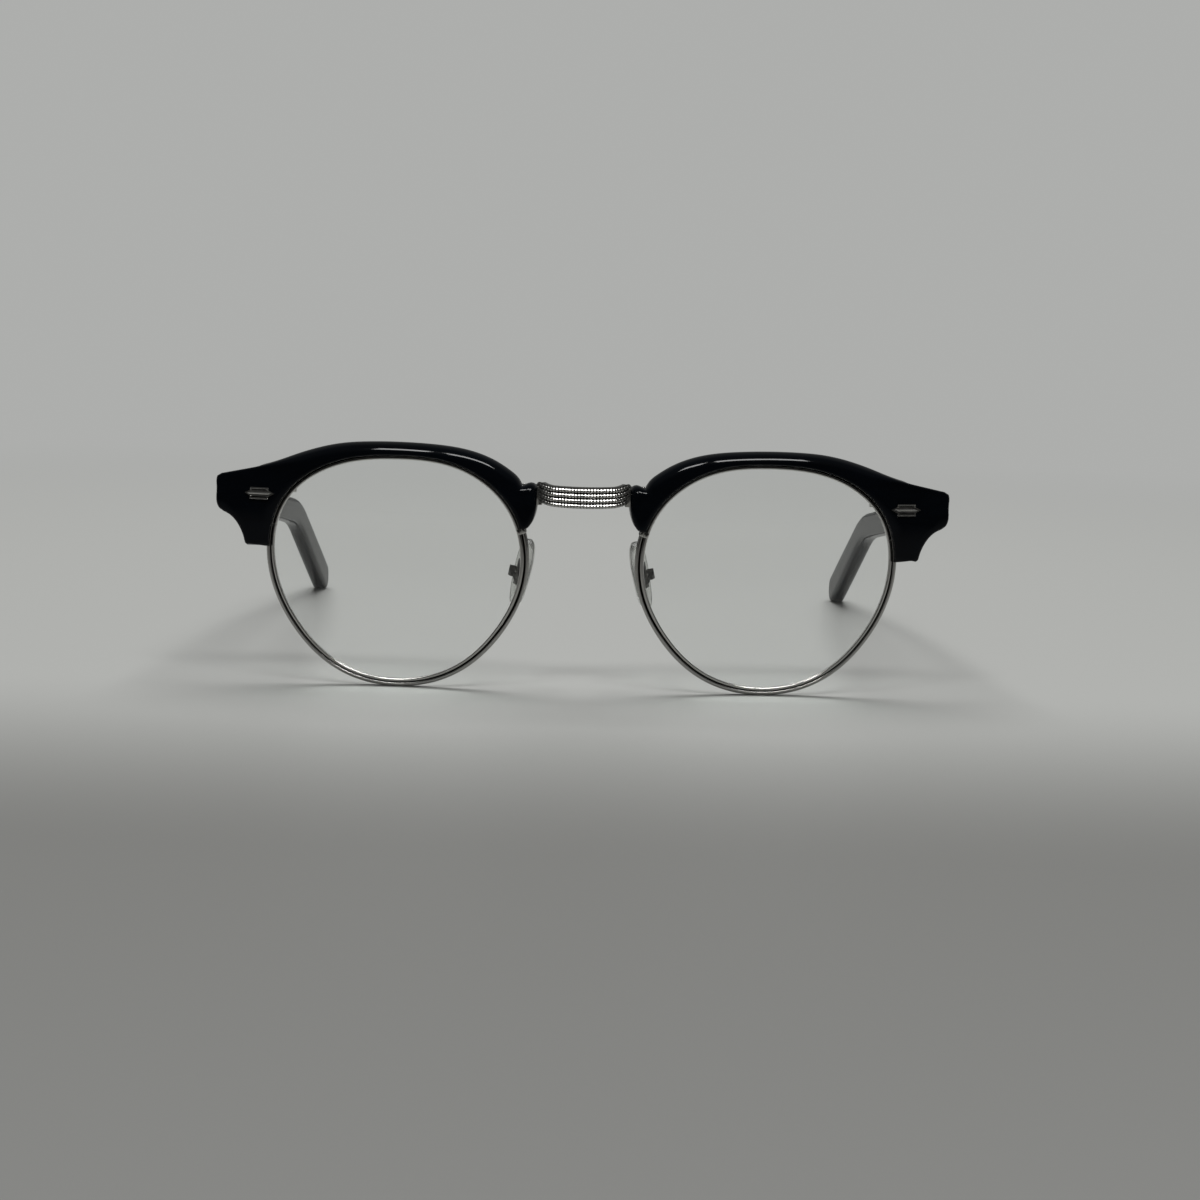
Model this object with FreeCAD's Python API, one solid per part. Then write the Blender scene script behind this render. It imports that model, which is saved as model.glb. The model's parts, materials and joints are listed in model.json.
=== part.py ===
import FreeCAD, Part
import math
import os

Vector = FreeCAD.Vector
Rotation = FreeCAD.Rotation
Placement = FreeCAD.Placement

# Browline spectacles. Millimetres and degrees. The wearer faces -Y, +X is the wearer's left.
# A side is drawn in its own frame: x towards the temple, y back from the lens, z up.

# Lenses
lens_width = 48.6
lens_height = 43.5
lens_gap = 22.7
lens_thickness = 1.6
lens_bevel_thickness = 0.8
base_curve_radius = 125.0
lens_outline_shares = [
    (-0.993, -0.003), (-0.801, -0.523), (-0.449, -0.882), (0.006, -1.0),
    (0.455, -0.872), (0.793, -0.511), (0.986, -0.003), (0.904, 0.576),
    (0.485, 0.924), (0.006, 1.0), (-0.477, 0.93), (-0.886, 0.572)]
outline_samples = 36

# Stance of the front
front_wrap_angle = 4.5
front_lean_angle = 3.0

# Eyewires
rim_outside = 1.05
rim_lip = 0.5
rim_depth = 2.0
rim_proud = 0.2
groove_play = 0.05
slit_width = 0.12

# Brows
brow_proud = 1.4
brow_thickness = 3.8
brow_rise = 2.7
brow_nasal_reach = 2.3
brow_end_reach = 11.3
brow_lip_cover = 0.35
brow_edge_radius = 0.45
brow_top_shares = [
    (-0.891, 0.687), (-0.861, 0.745), (-0.805, 0.8), (-0.69, 0.878), (-0.515, 0.949),
    (-0.229, 0.992), (0.0, 1.0), (0.171, 0.994), (0.306, 0.975), (0.435, 0.933),
    (0.57, 0.867), (0.657, 0.818), (0.744, 0.777), (0.837, 0.744), (0.968, 0.7)]
brow_end_shares = [
    (0.968, 0.7), (0.99, 0.69), (1.0, 0.665), (1.0, 0.6), (1.0, 0.53), (0.998, 0.47),
    (0.98, 0.423), (0.93, 0.388), (0.878, 0.325), (0.847, 0.25), (0.833, 0.19),
    (0.827, 0.166), (0.813, 0.155), (0.79, 0.153), (0.75, 0.153), (0.6, 0.153)]
brow_nose_shares = [
    (-0.8, 0.319), (-0.88, 0.319), (-0.925, 0.321), (-0.945, 0.331), (-0.974, 0.378),
    (-0.994, 0.46), (-1.002, 0.56), (-1.0, 0.65), (-0.985, 0.695), (-0.955, 0.712),
    (-0.922, 0.704), (-0.891, 0.687)]

# End pieces
end_block_low = 9.6
end_block_high = 18.4
end_block_inner = 3.1
end_block_flank = 4.6
butt_depth = 12.2
butt_gap = 0.15
hinge_rise = 12.7

# Bridge
bridge_height = 4.0
bridge_thickness = 1.7
bridge_bow = 2.0
bridge_tilt_angle = 8.0
bridge_rib_count = 4
bridge_rib_relief = 0.45
bridge_end_gap = 0.45
bridge_rise = 15.7
bridge_front = 1.3

# Bridge lugs and nasal screws
lug_thickness = 0.8
lug_height = 3.4
lug_centre_rise = 15.2
lug_arm_width = 1.0
small_screw_radius = 0.5
small_head_radius = 0.9
small_head_height = 0.45
small_screw_length = 2.6
screw_play = 0.03
nasal_screw_inset = 2.6
temporal_screw_inset = 2.0
temporal_screw_rise = 15.4
tab_height = 3.0
foot_overlap = 0.8
head_seat = 0.3

# Rim locks
lock_width = 4.0
lock_height = 5.0
lock_rise = 7.9
lock_front = 0.3
lock_depth = 2.9
lock_play = 0.15
lock_screw_radius = 0.55
lock_head_radius = 0.9
lock_head_height = 0.6

# Nose pads
pad_height = 13.4
pad_width = 7.2
pad_thickness = 1.9
pad_edge_radius = 0.7
pad_centre = (11.6, 8.6, 21.9)
pad_frontal_angle = 12.6
pad_splay_angle = 17.0
pad_outline_shares = [
    (0.0, 1.0), (0.72, 0.8), (1.0, 0.2), (0.86, -0.45), (0.42, -0.9),
    (0.0, -1.0), (-0.42, -0.9), (-0.86, -0.45), (-1.0, 0.2), (-0.72, 0.8)]
insert_plate_height = 5.0
insert_plate_width = 2.6
insert_plate_thickness = 0.5
insert_tab_width = 1.1
insert_tab_radius = 0.55
pad_box_gap = 0.25
pad_box_height = 2.0
pad_box_wall = 0.3
pad_box_play = 0.08
pad_pivot_depth = 0.9
pad_screw_radius = 0.32
pad_head_radius = 0.6
pad_head_height = 0.3
arm_radius = 0.4
arm_root_drop = 2.6
arm_root_run = 1.1
arm_bend_radius = 1.0
arm_curl_side = 0.5
arm_curl_back = 2.4
arm_curl_drop = 1.0

# Front and temple plaques
plaque_length = 5.7
plaque_height = 1.25
plaque_thickness = 0.55
plaque_point = 1.1
plaque_bar_length = 3.3
plaque_bar_height = 0.45
plaque_bar_gap = 0.25
plaque_base_thickness = 0.2
plaque_offset = 2.2
plaque_rise = 13.4
rivet_radius = 0.5
rivet_length = 2.2
rivet_spacing = 2.6
temple_plaque_distance = 13.0

# Hinges
pin_radius = 0.7
pin_play = 0.03
pin_inset = 1.4
knuckle_radius = 1.28
knuckle_height = 1.1
knuckle_gap = 0.08
knuckle_count = 5
hinge_head_radius = 1.2
hinge_head_height = 0.6
hinge_tail = 0.3
slot_width = 0.3
slot_depth = 0.25
leaf_thickness = 0.75
leaf_height = 5.2
front_leaf_width = 3.4
front_leaf_overlap = 1.0
temple_leaf_length = 8.5
leaf_anchor_depth = 0.9
leaf_anchor_height = 2.6
leaf_anchor_width = 1.8

# Temples
temple_thickness = 3.8
temple_straight = 82.0
temple_length = 152.0
temple_bend_angle = 14.5
temple_bend_radius = 70.0
temple_edge_radius = 1.1
temple_butt_height = 6.6
temple_waist_height = 5.6
temple_tip_height = 6.8
waist_share = 0.45
temple_station_shares = [0.0, 0.12, 0.3, 0.5, 0.68, 0.86, 1.0]
core_height = 2.4
core_thickness = 1.2
core_start = 17.5
core_end_margin = 9.0

# One overrun for cuts, and the length of a cutting block
overrun = 2.0
reach = 60.0

# Worked out from the above
half_width = lens_width / 2
half_height = lens_height / 2
lens_centre_x = (lens_width + lens_gap) / 2
lens_centre_z = half_height + rim_outside
rim_back = rim_depth - rim_proud
brow_back = brow_thickness - brow_proud
end_reach = half_width + brow_end_reach
nose_reach = half_width + brow_nasal_reach
brow_top = half_height + brow_rise


def radians(angle):
    return angle * math.pi / 180


def turned(axis, angle):
    return Placement(Vector(0, 0, 0), Rotation(axis, angle))


def placed(shape, placement):
    moved = shape.copy()
    moved.Placement = placement.multiply(moved.Placement)
    return moved


def box(low, high):
    size = high - low
    return Part.makeBox(size.x, size.y, size.z, low)


def rod(start, axis, radius, length):
    return Part.makeCylinder(radius, length, start, axis)


def curve_through(points):
    curve = Part.BSplineCurve()
    curve.interpolate(points)
    return curve.toShape()


# Lens outline and surfaces

def lens_curve():
    points = [Vector(u * half_width, 0, v * half_height) for u, v in lens_outline_shares]
    curve = Part.BSplineCurve()
    curve.interpolate(Points=points, PeriodicFlag=True)
    return curve


def loop_points(offset):
    curve = lens_curve()
    first, last = curve.FirstParameter, curve.LastParameter
    points = []
    for index in range(outline_samples):
        at = first + (last - first) * index / outline_samples
        tangent = curve.tangent(at)[0]
        outward = Vector(tangent.z, 0, -tangent.x).normalize()
        points.append(curve.value(at) + outward * offset)
    return points


def loop_prism(offset):
    curve = Part.BSplineCurve()
    curve.interpolate(Points=loop_points(offset), PeriodicFlag=True)
    face = Part.Face(Part.Wire(curve.toShape()))
    face.translate(Vector(0, -reach / 2, 0))
    return face.extrude(Vector(0, reach, 0))


def ball(depth):
    # everything behind the curved surface that lies this deep behind the lens front
    return Part.makeSphere(base_curve_radius - depth, Vector(0, base_curve_radius, 0))


def between(solid, front, back):
    return solid.common(ball(front)).cut(ball(back))


def sag(u, v):
    return base_curve_radius - math.sqrt(base_curve_radius ** 2 - u ** 2 - v ** 2)


def column(u_low, u_high, v_low, v_high):
    # a block through the front, square in the lens plane
    return box(Vector(u_low, -reach / 2, v_low), Vector(u_high, reach / 2, v_high))


def rim_half_width(v):
    # the lens edge on the temple side at height v
    section = [p for p in loop_points(0) if p.x > 0]
    section.sort(key=lambda p: abs(p.z - v))
    near, far = section[0], section[1]
    share = (v - near.z) / (far.z - near.z)
    return near.x + (far.x - near.x) * share


def nose_half_width(v):
    section = [p for p in loop_points(0) if p.x < 0]
    section.sort(key=lambda p: abs(p.z - v))
    near, far = section[0], section[1]
    share = (v - near.z) / (far.z - near.z)
    return -(near.x + (far.x - near.x) * share)


def make_lens():
    body = between(loop_prism(-rim_lip - groove_play), 0, lens_thickness)
    middle = lens_thickness / 2
    bevel_half = lens_bevel_thickness / 2
    bevel = between(loop_prism(-groove_play), middle - bevel_half, middle + bevel_half)
    return body.fuse(bevel).removeSplitter()


# Eyewire, with the tab for the temporal screw

def rim_band():
    return loop_prism(rim_outside).cut(loop_prism(-rim_lip))


def make_ring():
    ring = between(rim_band(), -rim_proud, rim_back)
    middle = lens_thickness / 2
    groove_half = lens_bevel_thickness / 2 + groove_play
    hollow = loop_prism(0).cut(loop_prism(-rim_lip - overrun))
    ring = ring.cut(between(hollow, middle - groove_half, middle + groove_half))
    slit = column(0, end_reach, lock_rise - slit_width / 2, lock_rise + slit_width / 2)
    return ring.cut(slit)


def temporal_screw_place():
    u = rim_half_width(temporal_screw_rise) + rim_outside + temporal_screw_inset
    return u, temporal_screw_rise


def nasal_screw_place():
    u = -nose_half_width(lug_centre_rise) - rim_outside - nasal_screw_inset
    return u, lug_centre_rise


def plate_behind_brow(u_low, u_high, v_middle, height):
    block = column(u_low, u_high, v_middle - height / 2, v_middle + height / 2)
    return between(block, brow_back + groove_play, brow_back + groove_play + lug_thickness)


def foot_on_rim(v_middle, height, side):
    low, high = min(0, side * end_reach), max(0, side * end_reach)
    block = column(low, high, v_middle - height / 2, v_middle + height / 2)
    band = loop_prism(rim_outside).cut(loop_prism(rim_outside - foot_overlap))
    return between(band.common(block), rim_back, brow_back + groove_play + lug_thickness)


def screw_hole(place, play):
    u, v = place
    start = Vector(u, -reach / 2, v)
    return rod(start, Vector(0, 1, 0), small_screw_radius + play, reach)


def make_eyewire():
    u, v = temporal_screw_place()
    tab = plate_behind_brow(0, u + small_head_radius, v, tab_height)
    tab = tab.cut(loop_prism(rim_outside - foot_overlap))
    tab = tab.fuse(foot_on_rim(v, tab_height, 1)).cut(screw_hole((u, v), screw_play))
    return make_ring().fuse(tab).removeSplitter()


# Screws that run straight back into the brow

def make_brow_screw(place):
    u, v = place
    plate_back = brow_back + groove_play + lug_thickness + sag(u, v)
    seat = Vector(u, plate_back + head_seat, v)
    head = rod(seat, Vector(0, 1, 0), small_head_radius, small_head_height)
    shank = rod(seat, Vector(0, -1, 0), small_screw_radius, small_screw_length + head_seat)
    slot = box(Vector(u - small_head_radius, seat.y + small_head_height - slot_depth, v - slot_width / 2),
               Vector(u + small_head_radius, seat.y + reach, v + slot_width / 2))
    return head.fuse(shank).cut(slot).removeSplitter()


# Rim lock

def lock_place():
    u = rim_half_width(lock_rise) + rim_outside + lock_width / 2
    return u, lock_front + lock_depth / 2 + sag(u, lock_rise)


def lock_screw_space(play):
    u, depth = lock_place()
    low = lock_rise - lock_height / 2
    up = Vector(0, 0, 1)
    head = rod(Vector(u, depth, low - reach), up, lock_head_radius + play, reach + lock_head_height)
    shank = rod(Vector(u, depth, low), up, lock_screw_radius + play, lock_height - lock_head_height)
    return head.fuse(shank)


def make_lock_half(v_low, v_high):
    u = lock_place()[0]
    block = column(0, u + lock_width / 2, v_low, v_high)
    block = between(block, lock_front, lock_front + lock_depth).cut(loop_prism(rim_outside))
    return block.cut(lock_screw_space(screw_play))


def make_lock_screw():
    u, depth = lock_place()
    low = lock_rise - lock_height / 2
    up = Vector(0, 0, 1)
    head = rod(Vector(u, depth, low), up, lock_head_radius, lock_head_height)
    shank = rod(Vector(u, depth, low), up, lock_screw_radius, lock_height - lock_head_height)
    slot = box(Vector(u - lock_head_radius, depth - slot_width / 2, low - overrun),
               Vector(u + lock_head_radius, depth + slot_width / 2, low + slot_depth))
    return head.fuse(shank).cut(slot).removeSplitter()


# Brow

def brow_point(share):
    u, v = share
    across = end_reach if u > 0 else nose_reach
    return Vector(u * across, 0, v * brow_top)


def brow_prism():
    # the outline's lower run crosses the lens, where it is cut away
    curves = [[brow_point(share) for share in shares]
              for shares in (brow_top_shares, brow_end_shares, brow_nose_shares)]
    edges = [curve_through(points) for points in curves]
    edges.append(Part.makeLine(curves[1][-1], curves[2][0]))
    face = Part.Face(Part.Wire(Part.__sortEdges__(edges)))
    face.translate(Vector(0, -reach / 2, 0))
    return face.extrude(Vector(0, reach, 0))


def end_block_space():
    inner = half_width + end_block_inner
    far = end_reach + overrun
    back = reach / 2
    start = sag(inner - end_block_flank, 0) + brow_back
    top = Vector(inner, back, end_block_low)
    high = Vector(inner, start + end_block_flank, end_block_low)
    inset = end_block_flank * (1 - math.sqrt(1 / 2))
    middle = Vector(inner - inset, start + inset, end_block_low)
    low = Vector(inner - end_block_flank, start, end_block_low)
    corners = [low, low + Vector(0, -reach / 2, 0), Vector(far, low.y - reach / 2, end_block_low),
               Vector(far, back, end_block_low), top, high]
    edges = [Part.makeLine(a, b) for a, b in zip(corners, corners[1:])]
    edges.append(Part.Arc(high, middle, low).toShape())
    face = Part.Face(Part.Wire(edges))
    return face.extrude(Vector(0, 0, end_block_high - end_block_low))


def front_edges(solid):
    middle = Vector(0, base_curve_radius, 0)
    found = []
    for edge in solid.Edges:
        ends = [edge.FirstParameter, (edge.FirstParameter + edge.LastParameter) / 2, edge.LastParameter]
        off = [abs((edge.valueAt(at) - middle).Length - base_curve_radius - brow_proud) for at in ends]
        if max(off) < brow_edge_radius / reach and edge.Length > brow_edge_radius:
            found.append(edge)
    return found


def make_brow_blank():
    prism = brow_prism().common(ball(-brow_proud))
    prism = prism.makeFillet(brow_edge_radius, front_edges(prism)).cut(loop_prism(brow_lip_cover))
    thin = prism.cut(ball(brow_back))
    thick = prism.common(end_block_space())
    return thin.fuse(thick).removeSplitter()


def make_brow():
    brow = make_brow_blank()
    brow = brow.cut(loop_prism(rim_outside + groove_play).common(ball(-rim_proud - groove_play)))
    u = lock_place()[0]
    pocket = column(0, u + lock_width / 2 + lock_play, 0, lock_rise + lock_height / 2 + lock_play)
    brow = brow.cut(pocket.common(ball(lock_front - lock_play)))
    for place in (nasal_screw_place(), temporal_screw_place()):
        brow = brow.cut(screw_hole(place, screw_play).common(ball(brow_back - small_screw_length)))
    return brow


# Bridge and its lugs

def bridge_half_span():
    return lens_gap / 2 - brow_nasal_reach - bridge_end_gap


def bridge_section():
    # drawn at x = 0, front towards -Y, four half-round ribs one above the other
    pitch = bridge_height / bridge_rib_count
    front = -bridge_front
    back = front + bridge_thickness
    low = -bridge_height / 2
    edges = []
    for index in range(bridge_rib_count):
        start = Vector(0, front + bridge_rib_relief, low + pitch * index)
        end = Vector(0, front + bridge_rib_relief, low + pitch * (index + 1))
        crest = Vector(0, front, low + pitch * (index + 1 / 2))
        edges.append(Part.Arc(start, crest, end).toShape())
    corners = [Vector(0, front + bridge_rib_relief, -low), Vector(0, back, -low),
               Vector(0, back, low), Vector(0, front + bridge_rib_relief, low)]
    edges += [Part.makeLine(a, b) for a, b in zip(corners, corners[1:])]
    return Part.Face(Part.Wire(edges))


def make_bridge():
    half = bridge_half_span()
    radius = (half ** 2 + bridge_bow ** 2) / (2 * bridge_bow)
    sweep = 2 * math.asin(half / radius) * 180 / math.pi
    section = bridge_section()
    axis_foot = Vector(0, radius - bridge_front, 0)
    section.rotate(axis_foot, Vector(0, 0, 1), -sweep / 2)
    body = section.revolve(axis_foot, Vector(0, 0, 1), sweep)
    body.translate(Vector(0, -bridge_bow, 0))
    body.rotate(Vector(0, 0, 0), Vector(1, 0, 0), bridge_tilt_angle)
    keep = box(Vector(-half, -reach, -reach), Vector(half, reach, reach))
    body = body.common(keep)
    body.translate(Vector(0, 0, lens_centre_z + bridge_rise))
    return body


def make_lug():
    u, v = nasal_screw_place()
    far = nose_reach + lug_arm_width
    plate = plate_behind_brow(-far, 0, v, lug_height).cut(loop_prism(rim_outside - foot_overlap))
    arm = column(-far, -nose_reach - groove_play, v - lug_height / 2, v + lug_height / 2)
    arm = between(arm, -brow_proud, brow_back + groove_play + lug_thickness)
    return plate.fuse(arm).fuse(foot_on_rim(v, lug_height, -1)).cut(screw_hole((u, v), screw_play))


# Plaque with its two rivets, drawn flat, front towards -Y

def make_plaque():
    half, tall = plaque_length / 2, plaque_height / 2
    outline = [Vector(-half, 0, 0), Vector(-half + plaque_point, 0, tall), Vector(half - plaque_point, 0, tall),
               Vector(half, 0, 0), Vector(half - plaque_point, 0, -tall), Vector(-half + plaque_point, 0, -tall)]
    outline.append(outline[0])
    plate = Part.Face(Part.makePolygon(outline)).extrude(Vector(0, -plaque_thickness, 0))
    bar_half = plaque_bar_length / 2
    bar_low = tall + plaque_bar_gap
    bar_high = bar_low + plaque_bar_height
    for low, high in ((bar_low, bar_high), (-bar_high, -bar_low)):
        plate = plate.fuse(box(Vector(-bar_half, -plaque_thickness, low), Vector(bar_half, 0, high)))
    base = box(Vector(-bar_half, -plaque_base_thickness, -bar_high), Vector(bar_half, 0, bar_high))
    plate = plate.fuse(base)
    for side in (-1, 1):
        foot = Vector(side * rivet_spacing / 2, -plaque_base_thickness, 0)
        plate = plate.fuse(rod(foot, Vector(0, 1, 0), rivet_radius, rivet_length + plaque_base_thickness))
    return plate.removeSplitter()


def front_plaque_placement():
    u = half_width + plaque_offset
    v = plaque_rise
    radius = base_curve_radius + brow_proud
    depth = base_curve_radius - math.sqrt(radius ** 2 - u ** 2 - v ** 2)
    outward = Vector(u, depth - base_curve_radius, v)
    lift = outward.normalize() * groove_play
    return Placement(Vector(u, depth, v) + lift, Rotation(Vector(0, -1, 0), outward))


# Hinge pieces, drawn about the pin: x outwards, y along the temple, z up the pin

def knuckle_low(index):
    total = knuckle_count * knuckle_height + (knuckle_count - 1) * knuckle_gap
    return -total / 2 + index * (knuckle_height + knuckle_gap)


def knuckle(index, web_low, web_high):
    low = knuckle_low(index)
    barrel = rod(Vector(0, 0, low), Vector(0, 0, 1), knuckle_radius, knuckle_height)
    web = box(web_low + Vector(0, 0, low), web_high + Vector(0, 0, low + knuckle_height))
    return barrel.fuse(web)


def pin_hole():
    return rod(Vector(0, 0, -reach / 2), Vector(0, 0, 1), pin_radius + pin_play, reach)


def front_leaf_plate():
    low = Vector(front_leaf_overlap - front_leaf_width, -pin_inset - leaf_thickness, -leaf_height / 2)
    high = Vector(front_leaf_overlap, -pin_inset, leaf_height / 2)
    anchor_low = Vector(low.x + leaf_thickness, low.y - leaf_anchor_depth, -leaf_anchor_height / 2)
    anchor_high = Vector(anchor_low.x + leaf_anchor_width, low.y, leaf_anchor_height / 2)
    return box(low, high).fuse(box(anchor_low, anchor_high))


def make_front_hinge():
    hinge = front_leaf_plate()
    for index in range(0, knuckle_count, 2):
        web_low = Vector(-front_leaf_overlap, -pin_inset, 0)
        web_high = Vector(front_leaf_overlap, 0, 0)
        hinge = hinge.fuse(knuckle(index, web_low, web_high))
    return hinge.cut(pin_hole()).removeSplitter()


def temple_leaf_plate():
    low = Vector(pin_inset, -front_leaf_overlap, -leaf_height / 2)
    high = Vector(pin_inset + leaf_thickness, temple_leaf_length - front_leaf_overlap, leaf_height / 2)
    anchor_low = Vector(high.x, high.y / 2, -leaf_anchor_height / 2)
    anchor_high = Vector(high.x + leaf_anchor_depth, high.y / 2 + leaf_anchor_width, leaf_anchor_height / 2)
    return box(low, high).fuse(box(anchor_low, anchor_high))


def make_temple_hinge():
    hinge = temple_leaf_plate()
    for index in range(1, knuckle_count, 2):
        web_low = Vector(0, -front_leaf_overlap, 0)
        web_high = Vector(pin_inset, front_leaf_overlap, 0)
        hinge = hinge.fuse(knuckle(index, web_low, web_high))
    return hinge.cut(pin_hole()).removeSplitter()


def make_hinge_screw():
    top = knuckle_low(knuckle_count) - knuckle_gap
    bottom = knuckle_low(0) - hinge_tail
    up = Vector(0, 0, 1)
    head = rod(Vector(0, 0, top + knuckle_gap), up, hinge_head_radius, hinge_head_height)
    shank = rod(Vector(0, 0, bottom), up, pin_radius, top + knuckle_gap - bottom)
    slot_low = top + knuckle_gap + hinge_head_height - slot_depth
    slot = box(Vector(-hinge_head_radius, -slot_width / 2, slot_low),
               Vector(hinge_head_radius, slot_width / 2, slot_low + reach))
    return head.fuse(shank).cut(slot).removeSplitter()


# Temple, drawn about the pin

def temple_point(distance, offset):
    # a point this far along the middle line, this far above it
    bend = radians(temple_bend_angle)
    arc_length = temple_bend_radius * bend
    past = distance - temple_straight
    if past <= 0:
        return Vector(0, distance, offset)
    angle = min(past / temple_bend_radius, bend)
    along = temple_straight + temple_bend_radius * math.sin(angle)
    drop = temple_bend_radius * (1 - math.cos(angle))
    rest = max(past - arc_length, 0)
    along += rest * math.cos(angle)
    drop += rest * math.sin(angle)
    return Vector(0, along + offset * math.sin(angle), offset * math.cos(angle) - drop)


def temple_half_height(share):
    # full at the butt, slim at the waist, fuller again at the tip
    if share < waist_share:
        blend = (1 + math.cos(math.pi * share / waist_share)) / 2
        return (temple_waist_height + (temple_butt_height - temple_waist_height) * blend) / 2
    blend = (1 - math.cos(math.pi * (share - waist_share) / (1 - waist_share))) / 2
    return (temple_waist_height + (temple_tip_height - temple_waist_height) * blend) / 2


def temple_start():
    return butt_gap - pin_inset


def temple_profile():
    start = temple_start()
    tip_centre = temple_length - temple_tip_height / 2
    upper, lower = [], []
    for share in temple_station_shares:
        distance = start + (tip_centre - start) * share
        half = temple_half_height(share)
        upper.append(temple_point(distance, half))
        lower.append(temple_point(distance, -half))
    end = temple_point(temple_length, 0)
    lower.reverse()
    edges = [curve_through(upper), Part.Arc(upper[-1], end, lower[0]).toShape(), curve_through(lower)]
    edges.append(Part.makeLine(lower[-1], upper[0]))
    return Part.Face(Part.Wire(edges))


def long_edges(solid, start):
    found = []
    for edge in solid.Edges:
        middle = edge.valueAt((edge.FirstParameter + edge.LastParameter) / 2)
        flat = abs(edge.BoundBox.XLength) < slot_width
        if flat and middle.y > start + temple_edge_radius:
            found.append(edge)
    return found


def make_core():
    start, stop = core_start, temple_length - core_end_margin
    stations = [start + (stop - start) * share for share in temple_station_shares]
    upper = [temple_point(distance, core_height / 2) for distance in stations]
    lower = [temple_point(distance, -core_height / 2) for distance in reversed(stations)]
    edges = [curve_through(upper), Part.makeLine(upper[-1], lower[0]), curve_through(lower)]
    edges.append(Part.makeLine(lower[-1], upper[0]))
    core = Part.Face(Part.Wire(edges)).extrude(Vector(core_thickness, 0, 0))
    middle = pin_inset + temple_thickness / 2
    core.translate(Vector(middle - core_thickness / 2 + leaf_thickness / 2, 0, 0))
    return core


def temple_plaque_placement():
    outer = pin_inset + temple_thickness
    return Placement(Vector(outer, temple_plaque_distance, 0), Rotation(Vector(0, 0, 1), 90))


def make_temple():
    face = temple_profile()
    temple = face.extrude(Vector(temple_thickness, 0, 0))
    temple.translate(Vector(pin_inset, 0, 0))
    temple = temple.makeFillet(temple_edge_radius, long_edges(temple, temple_start()))
    temple = temple.cut(make_core()).cut(temple_leaf_plate())
    return temple.cut(placed(make_plaque(), temple_plaque_placement()))


# Nose pad pieces, drawn about the pad's middle: x away from the nose, y back, z up

def pad_pivot():
    return pad_thickness / 2 + pad_pivot_depth


def make_insert():
    back = pad_thickness / 2
    plate = box(Vector(back - insert_plate_thickness, -insert_plate_width / 2, -insert_plate_height / 2),
                Vector(back, insert_plate_width / 2, insert_plate_height / 2))
    pivot = pad_pivot()
    tab = box(Vector(back - insert_plate_thickness, -insert_tab_width / 2, -insert_tab_radius),
              Vector(pivot, insert_tab_width / 2, insert_tab_radius))
    start = Vector(pivot, -insert_tab_width / 2, 0)
    eye = rod(start, Vector(0, 1, 0), insert_tab_radius, insert_tab_width)
    hole = rod(start - Vector(0, overrun, 0), Vector(0, 1, 0), pad_screw_radius + screw_play,
               insert_tab_width + 2 * overrun)
    return plate.fuse(tab).fuse(eye).cut(hole).removeSplitter()


def make_pad():
    points = [Vector(-pad_thickness / 2, u * pad_width / 2, v * pad_height / 2) for u, v in pad_outline_shares]
    curve = Part.BSplineCurve()
    curve.interpolate(Points=points, PeriodicFlag=True)
    pad = Part.Face(Part.Wire(curve.toShape())).extrude(Vector(pad_thickness, 0, 0))
    rounded = [edge for edge in pad.Edges if edge.BoundBox.XLength < slot_width]
    return pad.makeFillet(pad_edge_radius, rounded).cut(make_insert())


def pad_box_outer():
    half = insert_tab_width / 2 + pad_box_play + pad_box_wall
    front = pad_thickness / 2 + pad_box_gap
    back = pad_pivot() + insert_tab_radius + pad_box_play * 2 + pad_box_wall
    return box(Vector(front, -half, -pad_box_height / 2), Vector(back, half, pad_box_height / 2))


def make_pad_box():
    outer = pad_box_outer()
    half = insert_tab_width / 2 + pad_box_play
    back = pad_pivot() + insert_tab_radius + pad_box_play * 2
    channel = box(Vector(0, -half, -reach), Vector(back, half, reach))
    hole = rod(Vector(pad_pivot(), -reach, 0), Vector(0, 1, 0), pad_screw_radius + screw_play, reach * 2)
    return outer.cut(channel).cut(hole)


def make_pad_screw():
    half = insert_tab_width / 2 + pad_box_play + pad_box_wall
    start = Vector(pad_pivot(), -half, 0)
    along = Vector(0, 1, 0)
    shank = rod(start, along, pad_screw_radius, half * 2)
    head = rod(start + along * half * 2, along, pad_head_radius, pad_head_height)
    slot = box(Vector(start.x - pad_head_radius, half + pad_head_height - slot_depth, -slot_width / 2),
               Vector(start.x + pad_head_radius, half + reach, slot_width / 2))
    return shank.fuse(head).cut(slot).removeSplitter()


def pad_placement():
    turn = Rotation(Vector(0, 0, 1), -pad_splay_angle).multiply(Rotation(Vector(0, 1, 0), -pad_frontal_angle))
    return Placement(Vector(*pad_centre), turn)


def bent_wire(points, radius, bend):
    # straight runs joined by tangent arcs, swept with a round section
    edges = []
    start = points[0]
    for before, corner, after in zip(points, points[1:], points[2:]):
        into, out = (corner - before).normalize(), (after - corner).normalize()
        half_turn = into.getAngle(out) / 2
        setback = bend * math.tan(half_turn)
        a, b = corner - into * setback, corner + out * setback
        inward = (out - into).normalize()
        middle = corner + inward * (bend / math.cos(half_turn) - bend)
        edges.append(Part.makeLine(start, a))
        edges.append(Part.Arc(a, middle, b).toShape())
        start = b
    edges.append(Part.makeLine(start, points[-1]))
    path = Part.Wire(edges)
    section = Part.Wire(Part.makeCircle(radius, points[0], points[1] - points[0]))
    return path.makePipeShell([section], True, True)


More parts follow.
